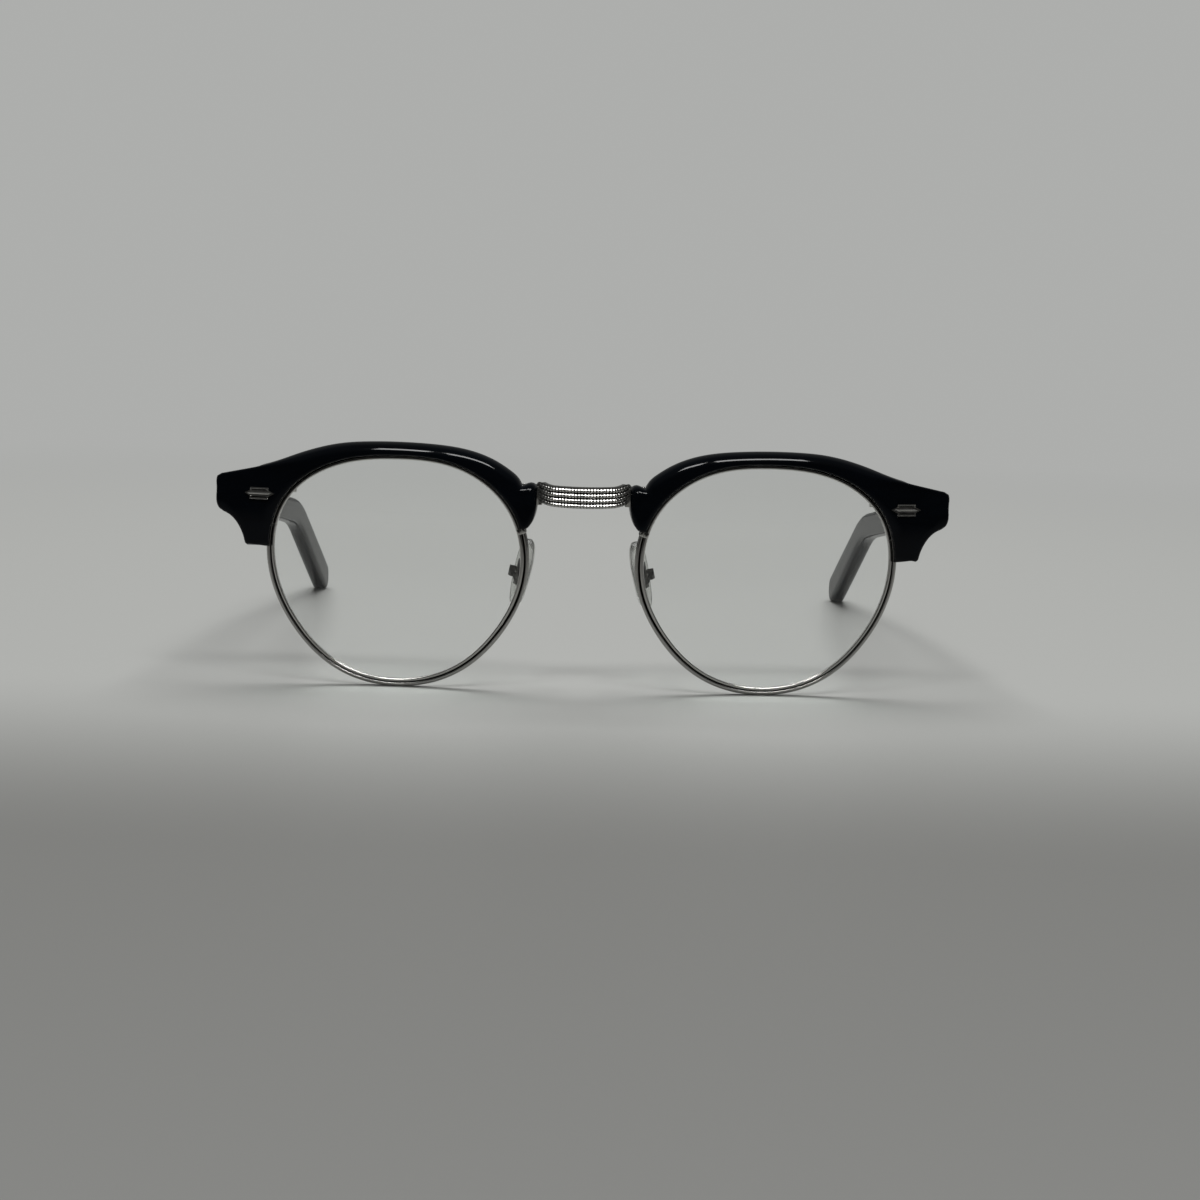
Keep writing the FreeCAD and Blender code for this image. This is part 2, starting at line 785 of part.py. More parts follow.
def make_pad_arm(rim_side, pad_side):
    # from the back of the eyewire, round a curl, to the pad box's front wall
    u = -nose_half_width(-arm_root_drop) - (rim_outside - rim_lip) / 2
    root = rim_side.multVec(Vector(u, rim_back + sag(u, -arm_root_drop), -arm_root_drop))
    out = rim_side.Rotation.multVec(Vector(0, 1, 0))
    outer = pad_box_outer().BoundBox
    seat = Vector((outer.XMin + outer.XMax) / 2, outer.YMin, 0)
    curl = seat + Vector(arm_curl_side, -arm_curl_back, -arm_curl_drop)
    inside = seat + Vector(0, pad_box_wall, 0)
    points = [root - out * arm_radius, root + out * arm_root_run,
              pad_side.multVec(curl), pad_side.multVec(inside)]
    return bent_wire(points, arm_radius, arm_bend_radius)


# Assembly. Everything is built for the wearer's left and mirrored for the right.

def side_placement():
    stand = turned(Vector(1, 0, 0), front_lean_angle)
    local = Placement(Vector(lens_centre_x, 0, lens_centre_z), Rotation(Vector(0, 0, 1), front_wrap_angle))
    return stand.multiply(local)


def pin_point():
    # the pin's middle, in the front's own upright frame
    side = lens_centre_x + end_reach * math.cos(radians(front_wrap_angle))
    side -= butt_depth * math.sin(radians(front_wrap_angle))
    return Vector(side - temple_thickness - pin_inset, butt_depth + pin_inset, lens_centre_z + hinge_rise)


def temple_drop(pin_height):
    # the slope at which the tip's rounded end just meets the ground under the rims
    centre = temple_point(temple_length - temple_tip_height / 2, 0)
    reach_to_tip = math.hypot(centre.y, centre.z)
    below = math.atan2(-centre.z, centre.y)
    return math.asin((pin_height - temple_tip_height / 2) / reach_to_tip) - below


def build_left():
    stand = turned(Vector(1, 0, 0), front_lean_angle)
    side = side_placement()
    eyewire = placed(make_eyewire(), side)
    ground = eyewire.optimalBoundingBox(False, False).ZMin
    pin = stand.multVec(pin_point())
    slope = temple_drop(pin.z - ground)
    temple = Placement(pin, Rotation(Vector(1, 0, 0), -math.degrees(slope)))
    pad = stand.multiply(pad_placement())

    back = placed(box(Vector(-reach, -pin_inset, -reach), Vector(reach, reach, reach)), temple)
    plaque = side.multiply(front_plaque_placement())
    brow = placed(make_brow(), side).cut(back).cut(placed(front_leaf_plate(), temple))
    brow = brow.cut(placed(make_plaque(), plaque))

    middle = lock_rise
    gap = slit_width / 2
    box_piece = placed(make_pad_box(), pad)
    arm = make_pad_arm(side, pad).cut(eyewire).cut(placed(pad_box_outer(), pad))
    lug = placed(make_lug(), side).cut(placed(make_bridge(), stand))
    pieces = {
        "brow": brow,
        "eyewire": eyewire,
        "lens": placed(make_lens(), side),
        "bridge_lug": lug,
        "nasal_screw": placed(make_brow_screw(nasal_screw_place()), side),
        "temporal_screw": placed(make_brow_screw(temporal_screw_place()), side),
        "rim_lock_upper": placed(make_lock_half(middle + gap, middle + lock_height / 2), side),
        "rim_lock_lower": placed(make_lock_half(middle - lock_height / 2, middle - gap), side),
        "rim_lock_screw": placed(make_lock_screw(), side),
        "front_plaque": placed(make_plaque(), plaque),
        "front_hinge": placed(make_front_hinge(), temple),
        "hinge_screw": placed(make_hinge_screw(), temple),
        "temple_hinge": placed(make_temple_hinge(), temple),
        "temple": placed(make_temple(), temple),
        "temple_core": placed(make_core(), temple),
        "temple_plaque": placed(make_plaque(), temple.multiply(temple_plaque_placement())),
        "pad_arm": arm,
        "pad_box": box_piece,
        "pad_screw": placed(make_pad_screw(), pad),
        "pad_insert": placed(make_insert(), pad),
        "nose_pad": placed(make_pad(), pad),
    }
    joints = {
        "temple pin": (pin, temple.Rotation.multVec(Vector(0, 0, 1))),
        "pad pivot": (pad.multVec(Vector(pad_pivot(), 0, 0)), pad.Rotation.multVec(Vector(0, 1, 0))),
        "slope": (Vector(math.degrees(slope), 0, 0), Vector(0, 0, 0)),
    }
    return pieces, joints, ground


def build():
    left, joints, ground = build_left()
    pieces = {"bridge": placed(make_bridge(), turned(Vector(1, 0, 0), front_lean_angle))}
    for name, shape in left.items():
        pieces["left_" + name] = shape
        pieces["right_" + name] = shape.mirror(Vector(0, 0, 0), Vector(1, 0, 0))
    front = pieces["bridge"].optimalBoundingBox(False, False).YMin
    tip = pieces["left_temple"].optimalBoundingBox(False, False).YMax
    shift = Vector(0, -(front + tip) / 2, -ground)
    for shape in pieces.values():
        shape.translate(shift)
    for name, (point, axis) in joints.items():
        if axis.Length > 0:
            point = point + shift
        print(name, [round(value, 4) for value in point], [round(value, 6) for value in axis])
    return pieces


os.makedirs("parts", exist_ok=True)
for node, solid in build().items():
    solid.exportStep("parts/" + node + ".step")
    print(node, len(solid.Solids), round(solid.Volume, 2), solid.isValid())
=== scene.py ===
# %% [markdown]
# # Browline eyeglasses
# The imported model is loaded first. It is the fixed frame that every piece is fitted to. Sizes
# below are in millimetres, as an optician writes them, and are turned to metres where a mesh is made.

# %% Load the frame
import bpy
import json
import math
import numpy as np
from mathutils import Matrix, Vector


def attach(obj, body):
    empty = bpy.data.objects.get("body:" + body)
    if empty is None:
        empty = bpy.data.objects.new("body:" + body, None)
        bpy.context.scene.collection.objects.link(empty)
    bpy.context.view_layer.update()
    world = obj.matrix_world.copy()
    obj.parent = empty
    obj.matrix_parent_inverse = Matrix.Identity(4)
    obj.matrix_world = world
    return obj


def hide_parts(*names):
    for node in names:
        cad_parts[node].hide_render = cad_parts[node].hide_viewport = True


MM = 0.001

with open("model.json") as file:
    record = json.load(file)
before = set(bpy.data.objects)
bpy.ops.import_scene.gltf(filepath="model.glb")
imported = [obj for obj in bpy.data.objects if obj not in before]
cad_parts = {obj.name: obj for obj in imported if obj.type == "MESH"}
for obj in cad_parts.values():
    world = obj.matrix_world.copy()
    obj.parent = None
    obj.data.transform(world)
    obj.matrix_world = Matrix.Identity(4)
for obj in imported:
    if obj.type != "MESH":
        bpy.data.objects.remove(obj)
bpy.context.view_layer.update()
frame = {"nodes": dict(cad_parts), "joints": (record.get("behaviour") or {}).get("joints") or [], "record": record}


# %% [markdown]
# ## Where the pieces are drawn
# Each side of the front is drawn square to its own lens: across towards the temple, back from
# the lens, and up. The sides are then turned back a little, as the front wraps round the face,
# and the whole front leans forward on the table. A temple is drawn about its hinge pin and a pad
# about its own middle. A matrix for each of these places takes millimetres to the table's metres.

# %% Places of the front, the sides, the temples and the pads
LENS_CENTRE_ACROSS = 35.65
LENS_CENTRE_RISE = 22.8
FRONT_WRAP = math.radians(4.5)
FRONT_LEAN = math.radians(3.0)
PIN_IN_FRONT = (64.9831, 13.6, 35.5)
PAD_MIDDLE = (11.6, 8.6, 21.9)
PAD_SPLAY = math.radians(17.0)
PAD_FRONTAL = math.radians(12.6)

fold = next(joint for joint in frame["joints"] if joint["name"] == "left_temple_fold")
pin_place = Vector(fold["pos_m"])
pin_axis = Vector(fold["axis"])

lean = Matrix.Rotation(FRONT_LEAN, 4, "X")
shift = pin_place - lean @ (Vector(PIN_IN_FRONT) * MM)
STAND = Matrix.Translation((0.0, shift.y, shift.z))
to_metres = Matrix.Scale(MM, 4)

FRONT = STAND @ lean @ to_metres
SIDE = (FRONT @ Matrix.Translation((LENS_CENTRE_ACROSS, 0, LENS_CENTRE_RISE))
        @ Matrix.Rotation(FRONT_WRAP, 4, "Z"))
PAD = (FRONT @ Matrix.Translation(PAD_MIDDLE) @ Matrix.Rotation(-PAD_SPLAY, 4, "Z")
       @ Matrix.Rotation(-PAD_FRONTAL, 4, "Y"))
across = Vector((1, 0, 0))
TEMPLE = (Matrix.Translation(pin_place)
          @ Matrix((across, pin_axis.cross(across), pin_axis)).transposed().to_4x4() @ to_metres)
print("stand shift in mm", [round(value / MM, 3) for value in shift])


# %% [markdown]
# ## Camera
# The photo was taken from a little above the brows, close to the middle. The camera keeps that
# place. In the photo the front leans back by half a degree, and here the glasses stand on the
# tips of their temples and lean forward by three, so the camera is turned with them.

# %% Camera at the photo's angle
PHOTO_WIDTH = 1200
PHOTO_FOCAL_PIXELS = 2153.1
PHOTO_PLACE = Vector((-0.00166, -0.4044, 0.0936))
PHOTO_PITCH, PHOTO_YAW, PHOTO_ROLL = (math.radians(angle) for angle in (10.54, 0.75, 1.62))
PHOTO_TO_STANCE = math.radians(3.5)
SENSOR_WIDTH = 36.0


def photo_camera():
    forward = Vector((math.sin(PHOTO_YAW) * math.cos(PHOTO_PITCH),
                      math.cos(PHOTO_YAW) * math.cos(PHOTO_PITCH), -math.sin(PHOTO_PITCH)))
    right = Vector((math.cos(PHOTO_YAW), -math.sin(PHOTO_YAW), 0.0))
    up = right.cross(forward)
    rolled_right = right * math.cos(PHOTO_ROLL) + up * math.sin(PHOTO_ROLL)
    rolled_up = up * math.cos(PHOTO_ROLL) - right * math.sin(PHOTO_ROLL)
    turn = Matrix((rolled_right, rolled_up, -forward)).transposed().to_4x4()
    bpy.ops.object.camera_add()
    camera = bpy.context.object
    camera.name = "photo_camera"
    camera.matrix_world = (STAND @ Matrix.Rotation(PHOTO_TO_STANCE, 4, "X")
                           @ Matrix.Translation(PHOTO_PLACE) @ turn)
    camera.data.sensor_width = SENSOR_WIDTH
    camera.data.lens = PHOTO_FOCAL_PIXELS / PHOTO_WIDTH * SENSOR_WIDTH
    bpy.context.scene.camera = camera
    return camera


camera = photo_camera()
print("camera at", [round(value, 4) for value in camera.location], "lens", round(camera.data.lens, 2), "mm")


# %% [markdown]
# ## Node groups for the finishes
# Three effects come back in several materials: fine marks from handling and cloths, metal that
# has gone dark in its hollows, and edges rubbed bright. Each is a node group with its own
# inputs, built once here and placed in every material that needs it. The groups give only
# numbers that change over the surface. The shader itself stays in each material.

# %% Helpers that wire nodes
def add_node(tree, kind, inputs=None, **properties):
    """Adds a node, sets its properties, and sets or links the inputs named."""
    node = tree.nodes.new(kind)
    for name, value in properties.items():
        setattr(node, name, value)
    for key, value in (inputs or {}).items():
        if isinstance(value, bpy.types.NodeSocket):
            tree.links.new(value, node.inputs[key])
        else:
            node.inputs[key].default_value = value
    return node


def add_math(tree, operation, *values, clamp=False):
    """A Math node's result. Each value is a number or the socket of another node."""
    return add_node(tree, "ShaderNodeMath", dict(enumerate(values)), operation=operation,
                    use_clamp=clamp).outputs[0]


def add_ramp(tree, value, start, end, low=0.0, high=1.0, blend="LINEAR"):
    """A Map Range node's result: low where the value is at start, high where it is at end."""
    return add_node(tree, "ShaderNodeMapRange", {"Value": value, "From Min": start, "From Max": end,
                                                 "To Min": low, "To Max": high},
                    interpolation_type=blend).outputs[0]


def add_noise(tree, place, scale, detail):
    return add_node(tree, "ShaderNodeTexNoise", {"Vector": place, "Scale": scale,
                                                 "Detail": detail}).outputs["Fac"]


def place_on_piece(tree, scale=None):
    """Object coordinates, which stay with the piece when it moves."""
    place = tree.nodes.new("ShaderNodeTexCoord").outputs["Object"]
    if scale is None:
        return place
    return add_node(tree, "ShaderNodeVectorMath", {0: place, "Scale": scale}, operation="SCALE").outputs[0]


def new_group(name, inputs, outputs):
    group = bpy.data.node_groups.new(name, "ShaderNodeTree")
    for label, value in inputs.items():
        socket = group.interface.new_socket(label, in_out="INPUT", socket_type="NodeSocketFloat")
        socket.default_value = value
    for label in outputs:
        group.interface.new_socket(label, in_out="OUTPUT", socket_type="NodeSocketFloat")
    return group, group.nodes.new("NodeGroupInput"), group.nodes.new("NodeGroupOutput")


# %% Handling marks
def make_handling_marks():
    """Cloudy smudges in the roughness, and hair-fine rubbing lines as relief."""
    tree, start, end = new_group("handling_marks", {"Roughness": 0.1, "Smudge": 0.05, "Scale": 1.0},
                                 ["Roughness", "Height"])
    place = place_on_piece(tree, start.outputs["Scale"])
    smudge = add_math(tree, "SUBTRACT", add_noise(tree, place, 140.0, 3.0), 0.5)
    roughness = add_math(tree, "MULTIPLY_ADD", smudge, start.outputs["Smudge"], start.outputs["Roughness"])
    turned = add_node(tree, "ShaderNodeMapping", {"Vector": place, "Rotation": (0.4, 0.7, 0.5),
                                                  "Scale": (1.0, 14.0, 3.0)}).outputs[0]
    tree.links.new(roughness, end.inputs["Roughness"])
    tree.links.new(add_noise(tree, turned, 900.0, 2.0), end.inputs["Height"])
    return tree


handling_marks = make_handling_marks()
print("group", handling_marks.name)


# %% Dark hollows and rubbed edges
def make_hollows_and_edges():
    """Pointiness is low in grooves and high on edges, and noise breaks both up."""
    tree, start, end = new_group("hollows_and_edges", {"Hollow": 0.5, "Edge": 0.5, "Scale": 1.0},
                                 ["Hollow", "Edge"])
    pointed = tree.nodes.new("ShaderNodeNewGeometry").outputs["Pointiness"]
    patches = add_noise(tree, place_on_piece(tree, start.outputs["Scale"]), 600.0, 4.0)
    broken = add_ramp(tree, patches, 0.3, 0.7, low=0.55)
    for label, low, high in (("Hollow", 0.5, 0.42), ("Edge", 0.52, 0.6)):
        mixed = add_math(tree, "MULTIPLY", add_ramp(tree, pointed, low, high), broken)
        tree.links.new(add_math(tree, "MULTIPLY", mixed, start.outputs[label]), end.inputs[label])
    return tree


hollows_and_edges = make_hollows_and_edges()
print("group", hollows_and_edges.name)


# %% [markdown]
# ## Finishes
# The brows and temples are polished acetate, so dark a blue that it reads as black. The metal
# is silver plating that has been left dark in its hollows, and the hinges and screws are plain
# steel. Lenses and pads are clear. Numbers that are the same all over sit on the shader's own sockets.

# %% Shared steps for a finish
DARK_DULLNESS = 0.3


def new_finish(name, **plain):
    """A material, its tree and its shader, with the values that are the same all over."""
    material = bpy.data.materials.new(name)
    material.use_nodes = True
    shader = material.node_tree.nodes["Principled BSDF"]
    for label, value in plain.items():
        shader.inputs[label.replace("_", " ")].default_value = value
    return material, material.node_tree, shader


def place_group(tree, group, **values):
    node = tree.nodes.new("ShaderNodeGroup")
    node.node_tree = group
    for name, value in values.items():
        node.inputs[name].default_value = value
    return node


def add_marks(tree, shader, relief=0.0, dulled_by=None, **values):
    """Handling marks in the roughness, duller where it is dark, and as relief this deep in metres."""
    marks = place_group(tree, handling_marks, **values)
    roughness = marks.outputs["Roughness"]
    if dulled_by:
        roughness = add_math(tree, "MULTIPLY_ADD", dulled_by, DARK_DULLNESS, roughness)
    tree.links.new(roughness, shader.inputs["Roughness"])
    if relief:
        bump = add_node(tree, "ShaderNodeBump", {"Height": marks.outputs["Height"], "Distance": relief,
                                                 "Strength": 1.0})
        tree.links.new(bump.outputs["Normal"], shader.inputs["Normal"])


def mix_colours(tree, factor, first, second):
    mix = tree.nodes.new("ShaderNodeMix")
    mix.data_type = "RGBA"
    tree.links.new(factor, mix.inputs["Factor"])
    for key, colour in (("A", first), ("B", second)):
        socket = [s for s in mix.inputs if s.name == key and s.type == "RGBA"][0]
        if isinstance(colour, bpy.types.NodeSocket):
            tree.links.new(colour, socket)
        else:
            socket.default_value = (*colour, 1.0)
    return [s for s in mix.outputs if s.type == "RGBA"][0]


# %% Acetate
def make_acetate():
    """Near-black blue, with faint long streaks as in a sheet of cellulose acetate."""
    material, tree, shader = new_finish("acetate", IOR=1.48, Specular_IOR_Level=0.34)
    grain = add_node(tree, "ShaderNodeMapping", {"Vector": place_on_piece(tree),
                                                 "Scale": (40.0, 160.0, 320.0)}).outputs[0]
    streaks = add_noise(tree, grain, 1.0, 3.0)
    colour = mix_colours(tree, streaks, (0.0006, 0.0008, 0.0013), (0.002, 0.0034, 0.0058))
    tree.links.new(colour, shader.inputs["Base Color"])
    add_marks(tree, shader, relief=0.000001, Roughness=0.06, Smudge=0.06, Scale=1.0)
    return material


acetate = make_acetate()
print("finish", acetate.name)


# %% Silver and steel
EDGE_BRIGHTNESS = 1.18


def make_metal(name, bright, dark, hollow, edge, roughness, smudge):
    """Metal with bright edges, dark in its hollows, and dark wherever a piece sets its tarnish_and_shade
    attribute, which holds tarnish and painted shade.
    """
    material, tree, shader = new_finish(name, Metallic=1.0)
    wear = place_group(tree, hollows_and_edges, Hollow=hollow, Edge=edge, Scale=1.0)
    tarnish_and_shade = add_node(tree, "ShaderNodeAttribute", attribute_name="tarnish_and_shade").outputs["Fac"]
    darkened = add_math(tree, "MAXIMUM", wear.outputs["Hollow"], tarnish_and_shade)
    brightest = [min(1.0, value * EDGE_BRIGHTNESS) for value in bright]
    rubbed = mix_colours(tree, wear.outputs["Edge"], bright, brightest)
    tree.links.new(mix_colours(tree, darkened, rubbed, dark), shader.inputs["Base Color"])
    add_marks(tree, shader, relief=0.000002, dulled_by=darkened,
              Roughness=roughness, Smudge=smudge, Scale=1.6)
    return material


silver = make_metal("silver", (0.8, 0.785, 0.755), (0.012, 0.011, 0.01), 0.9, 0.6, 0.13, 0.06)
dark_silver = make_metal("dark_silver", (0.1, 0.097, 0.09), (0.008, 0.007, 0.006), 0.9, 0.7, 0.2, 0.1)
steel = make_metal("steel", (0.5, 0.5, 0.5), (0.06, 0.058, 0.055), 0.7, 0.5, 0.26, 0.12)
print("finishes", silver.name, dark_silver.name, steel.name)


# %% Lens glass and clear silicone
def make_lens_glass():
    """Clear, with a faint coating that mirrors little. The table's light passes straight through."""
    material, tree, shader = new_finish("lens_glass", Base_Color=(0.985, 0.995, 0.99, 1.0),
                                        Transmission_Weight=1.0, IOR=1.5, Specular_IOR_Level=0.2)
    add_marks(tree, shader, Roughness=0.0, Smudge=0.02, Scale=0.4)
    passing = add_node(tree, "ShaderNodeBsdfTransparent", {"Color": (0.94, 0.96, 0.95, 1.0)})
    path = tree.nodes.new("ShaderNodeLightPath")
    lights = add_math(tree, "MAXIMUM", path.outputs["Is Shadow Ray"], path.outputs["Is Diffuse Ray"])
    choose = add_node(tree, "ShaderNodeMixShader", {0: lights, 1: shader.outputs[0], 2: passing.outputs[0]})
    tree.links.new(choose.outputs[0], tree.nodes["Material Output"].inputs["Surface"])
    return material


def make_clear_silicone():
    material, tree, shader = new_finish("clear_silicone", Base_Color=(0.8, 0.81, 0.78, 1.0),
                                        Transmission_Weight=1.0, IOR=1.42)
    add_marks(tree, shader, relief=0.000004, Roughness=0.22, Smudge=0.12, Scale=1.0)
    return material


lens_glass = make_lens_glass()
clear_silicone = make_clear_silicone()
print("finishes", lens_glass.name, clear_silicone.name)


# %% [markdown]
# ## Drawing tools
# Most pieces here are long skins: a closed section that follows a path and changes on its way,
# such as a brow, an eyewire or a temple. By hand this is a grid of faces whose corners are
# pulled to their places. So a grid is added with one row for each section and one column for
# each point round it. Its corners are placed, its seam is merged, and its ends are filled.

# %% Smooth curves through measured points
CURVE_STEPS = 40


def smooth_curve(knots, count, closed=False):
    """Points evenly spaced along a cubic spline through the knots."""
    knots = np.asarray(knots, float)
    if closed:
        knots = np.vstack([knots, knots[:1]])
    gaps = np.linalg.norm(np.diff(knots, axis=0), axis=1)
    last = len(knots) - 1
    rise = np.diff(knots, axis=0) / gaps[:, None]
    system = np.zeros((last + 1, last + 1))
    wanted = np.zeros(knots.shape)
    for index in range(1, last):
        before, after = gaps[index - 1], gaps[index]
        system[index, index - 1:index + 2] = after, 2 * (before + after), before
        wanted[index] = 3 * (after * rise[index - 1] + before * rise[index])
    if closed:
        before, after = gaps[-1], gaps[0]
        system[0, [last - 1, 0, 1]] = after, 2 * (before + after), before
        wanted[0] = 3 * (after * rise[-1] + before * rise[0])
        system[last, [0, last]] = 1, -1
    else:
        system[0, :2] = 2, 1
        wanted[0] = 3 * rise[0]
        system[last, last - 1:] = 1, 2
        wanted[last] = 3 * rise[-1]
    slopes = np.linalg.solve(system, wanted)
    fine = []
    for index in range(last):
        share = np.linspace(0, 1, CURVE_STEPS, endpoint=False)[:, None]
        start, end = knots[index], knots[index + 1]
        lead, trail = slopes[index] * gaps[index], slopes[index + 1] * gaps[index]
        fine.append(start * (1 + 2 * share) * (1 - share) ** 2 + end * share ** 2 * (3 - 2 * share)
                    + lead * share * (1 - share) ** 2 - trail * share ** 2 * (1 - share))
    fine.append(knots[-1:])
    return spread_evenly(np.vstack(fine), count, closed)


def spread_evenly(points, count, closed=False):
    """The same line, cut into even steps."""
    steps = np.linalg.norm(np.diff(points, axis=0), axis=1)
    along = np.concatenate([[0], np.cumsum(steps)])
    at = np.linspace(0, along[-1], count, endpoint=not closed)
    return np.stack([np.interp(at, along, points[:, axis]) for axis in range(points.shape[1])], axis=1)


# %% A skin over sections
def select_only(*pieces):
    bpy.ops.object.select_all(action="DESELECT")
    for piece in pieces:
        piece.select_set(True)
    bpy.context.view_layer.objects.active = pieces[0]


def tidy_mesh(piece, merge=1e-7):
    """Merges doubles, fills open ends and turns every face outwards."""
    select_only(piece)
    bpy.ops.object.mode_set(mode="EDIT")
    bpy.ops.mesh.select_all(action="SELECT")
    bpy.ops.mesh.remove_doubles(threshold=merge)
    bpy.ops.mesh.fill_holes(sides=0)
    bpy.ops.mesh.select_all(action="SELECT")
    bpy.ops.mesh.normals_make_consistent(inside=False)
    bpy.ops.object.mode_set(mode="OBJECT")


def skin_over(name, sections, place, smooth_angle=40.0, tarnish_and_shade=None):
    """A closed skin over sections of points, taken from millimetres to its place."""
    sections = np.asarray(sections, float)
    rows, columns = sections.shape[:2]
    sections = np.concatenate([sections, sections[:, :1]], axis=1)
    bpy.ops.object.select_all(action="DESELECT")
    bpy.ops.mesh.primitive_grid_add(x_subdivisions=columns, y_subdivisions=rows - 1)
    piece = bpy.context.object
    piece.name = piece.data.name = name
    turn = np.array(place)
    corners = sections.reshape(-1, 3) @ turn[:3, :3].T + turn[:3, 3]
    piece.data.vertices.foreach_set("co", corners.astype(np.float32).ravel())
    # Darkness painted on the metal: tarnish, and painted shade on the bridge's rows.
    if tarnish_and_shade is not None:
        dark = np.broadcast_to(tarnish_and_shade, (rows, columns))
        dark = np.concatenate([dark, dark[:, :1]], axis=1)
        layer = piece.data.attributes.new("tarnish_and_shade", "FLOAT", "POINT")
        layer.data.foreach_set("value", dark.astype(np.float32).ravel())
    piece.data.update()
    tidy_mesh(piece)
    bpy.ops.object.shade_smooth_by_angle(angle=math.radians(smooth_angle))
    return piece


def join_pieces(pieces, name):
    select_only(*pieces)
    bpy.ops.object.join()
    pieces[0].name = pieces[0].data.name = name
    return pieces[0]


# %% The twin on the other side
def apply_place():
    """Puts the selected pieces' places into their meshes."""
    bpy.ops.object.transform_apply(location=True, rotation=True, scale=True)


def placed_copy(piece, name, place):
    """A copy with its own mesh and its place in the mesh."""
    select_only(piece)
    bpy.ops.object.duplicate(linked=False)
    copy = bpy.context.object
    copy.name = copy.data.name = name
    copy.matrix_world = place
    apply_place()
    return copy


def finished(piece, finish):
    piece.data.materials.clear()
    piece.data.materials.append(finish)


def dress(piece, node, body, finish):
    """Gives a left piece and its mirrored twin their bodies, nodes, slots and finish."""
    twin = placed_copy(piece, piece.name.replace("left_", "right_"), Matrix.Diagonal((-1, 1, 1, 1)))
    tidy_mesh(twin)
    for side, one in (("left", piece), ("right", twin)):
        finished(one, finish)
        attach(one, body if body == "front" else side + "_" + body)
        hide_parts(side + "_" + node)


# %% [markdown]
# ## Lens outline
# Brow, eyewire and lens share one rounded outline, measured as twelve points, and one ball of
# 125 mm radius that their faces lie on. Every piece near the lens is drawn from these two.

# %% Outline and ball of the lens
LENS_WIDTH = 48.6
LENS_HEIGHT = 43.5
BALL_RADIUS = 125.0
LENS_SHARES = [
    (-0.993, -0.003), (-0.801, -0.523), (-0.449, -0.882), (0.006, -1.0),
    (0.455, -0.872), (0.793, -0.511), (0.986, -0.003), (0.904, 0.576),
    (0.485, 0.924), (0.006, 1.0), (-0.477, 0.93), (-0.886, 0.572)]
OUTLINE_COUNT = 720
HALF_FROM = -3

half_width, half_height = LENS_WIDTH / 2, LENS_HEIGHT / 2
lens_outline = smooth_curve(np.array(LENS_SHARES) * (half_width, half_height), OUTLINE_COUNT, closed=True)
along_outline = np.roll(lens_outline, -1, axis=0) - np.roll(lens_outline, 1, axis=0)
lens_normals = np.stack([along_outline[:, 1], -along_outline[:, 0]], axis=1)
lens_normals /= np.linalg.norm(lens_normals, axis=1)[:, None]


def ball_depth(points, behind):
    """How far back the ball's surface lies at these points, this deep behind the lens front."""
    points = np.asarray(points, float)
    radius = BALL_RADIUS - behind
    return BALL_RADIUS - np.sqrt(radius ** 2 - points[..., 0] ** 2 - points[..., 1] ** 2)


def with_depth(points, depth):
    """Points drawn flat, set this deep."""
    points = np.asarray(points, float)
    depth = np.broadcast_to(depth, points.shape[:-1])
    return np.stack([points[..., 0], depth, points[..., 1]], axis=-1)


def crossing(line, rise):
    """The point of a line that climbs or falls, at this height."""
    order = np.argsort(line[:, 1])
    return np.array([np.interp(rise, line[order, 1], line[order, 0]), rise])


def inner_half(offset, side):
    """The lens outline's upper half on one side, from low to high."""
    loop = lens_outline + lens_normals * offset
    half = loop[(loop[:, 0] * side > 0) & (loop[:, 1] > HALF_FROM)]
    return half[np.argsort(half[:, 1])]


print("outline", lens_outline.min(0).round(2), lens_outline.max(0).round(2))


# %% [markdown]
# ## Eyewires
# The eyewire is a drawn wire of silver with a channel inside that holds the lens bevel. Its
# front has two rounded lips with a fine dark groove between them. A curve with a bevel profile
# could give it, but the section must stay square to the curved lens, so it is a skin over one
# section that follows the outline. It starts and ends at the cut where the rim lock opens it. A
# tab behind the brow takes the outer screw, and a collar ends the wire's bare part at the nose.

# %% Eyewire ring
# Each corner of the section: how far outside the lens, how far back, and how dark: tarnish in its two grooves, and
# the outer lip a little darker than the inner one.
RIM_FRONT = [
    (-0.50, 0.02, 0), (-0.48, -0.07, 0), (-0.42, -0.14, 0), (-0.33, -0.19, 0), (-0.23, -0.20, 0),
    (-0.13, -0.19, 0), (-0.04, -0.15, 0), (0.02, -0.09, 0.1), (0.06, 0.0, 1), (0.10, 0.10, 1),
    (0.17, 0.14, 1), (0.24, 0.10, 1), (0.28, 0.0, 1), (0.32, -0.09, 0.3), (0.38, -0.15, 0.2), (0.48, -0.19, 0.2),
    (0.60, -0.20, 0.2), (0.74, -0.17, 0.2), (0.87, -0.10, 0.2), (0.97, 0.0, 0.3), (1.03, 0.12, 0.4),
    (1.05, 0.26, 0.4), (1.02, 0.42, 0.6)]
RIM_REST = [
    (0.93, 0.47, 1), (0.70, 0.50, 1), (0.62, 0.56, 1), (0.60, 0.80, 1), (0.62, 1.04, 1), (0.70, 1.10, 1),
    (0.93, 1.13, 1), (1.02, 1.18, 0), (1.05, 1.34, 0), (1.03, 1.52, 0), (0.92, 1.68, 0), (0.72, 1.78, 0),
    (0.45, 1.80, 0), (-0.20, 1.80, 0), (-0.38, 1.79, 0), (-0.47, 1.72, 0), (-0.50, 1.60, 0), (-0.50, 1.26, 0),
    (-0.03, 1.10, 0), (-0.03, 0.50, 0), (-0.50, 0.34, 0)]
RIM_SECTION = np.array(RIM_FRONT + RIM_REST)
GROOVE_EDGES = [-0.5, 0.04, 0.3, 1.05]
NOSE_GROOVE_EDGES = [-0.5, 0.17, 0.52, 1.05]
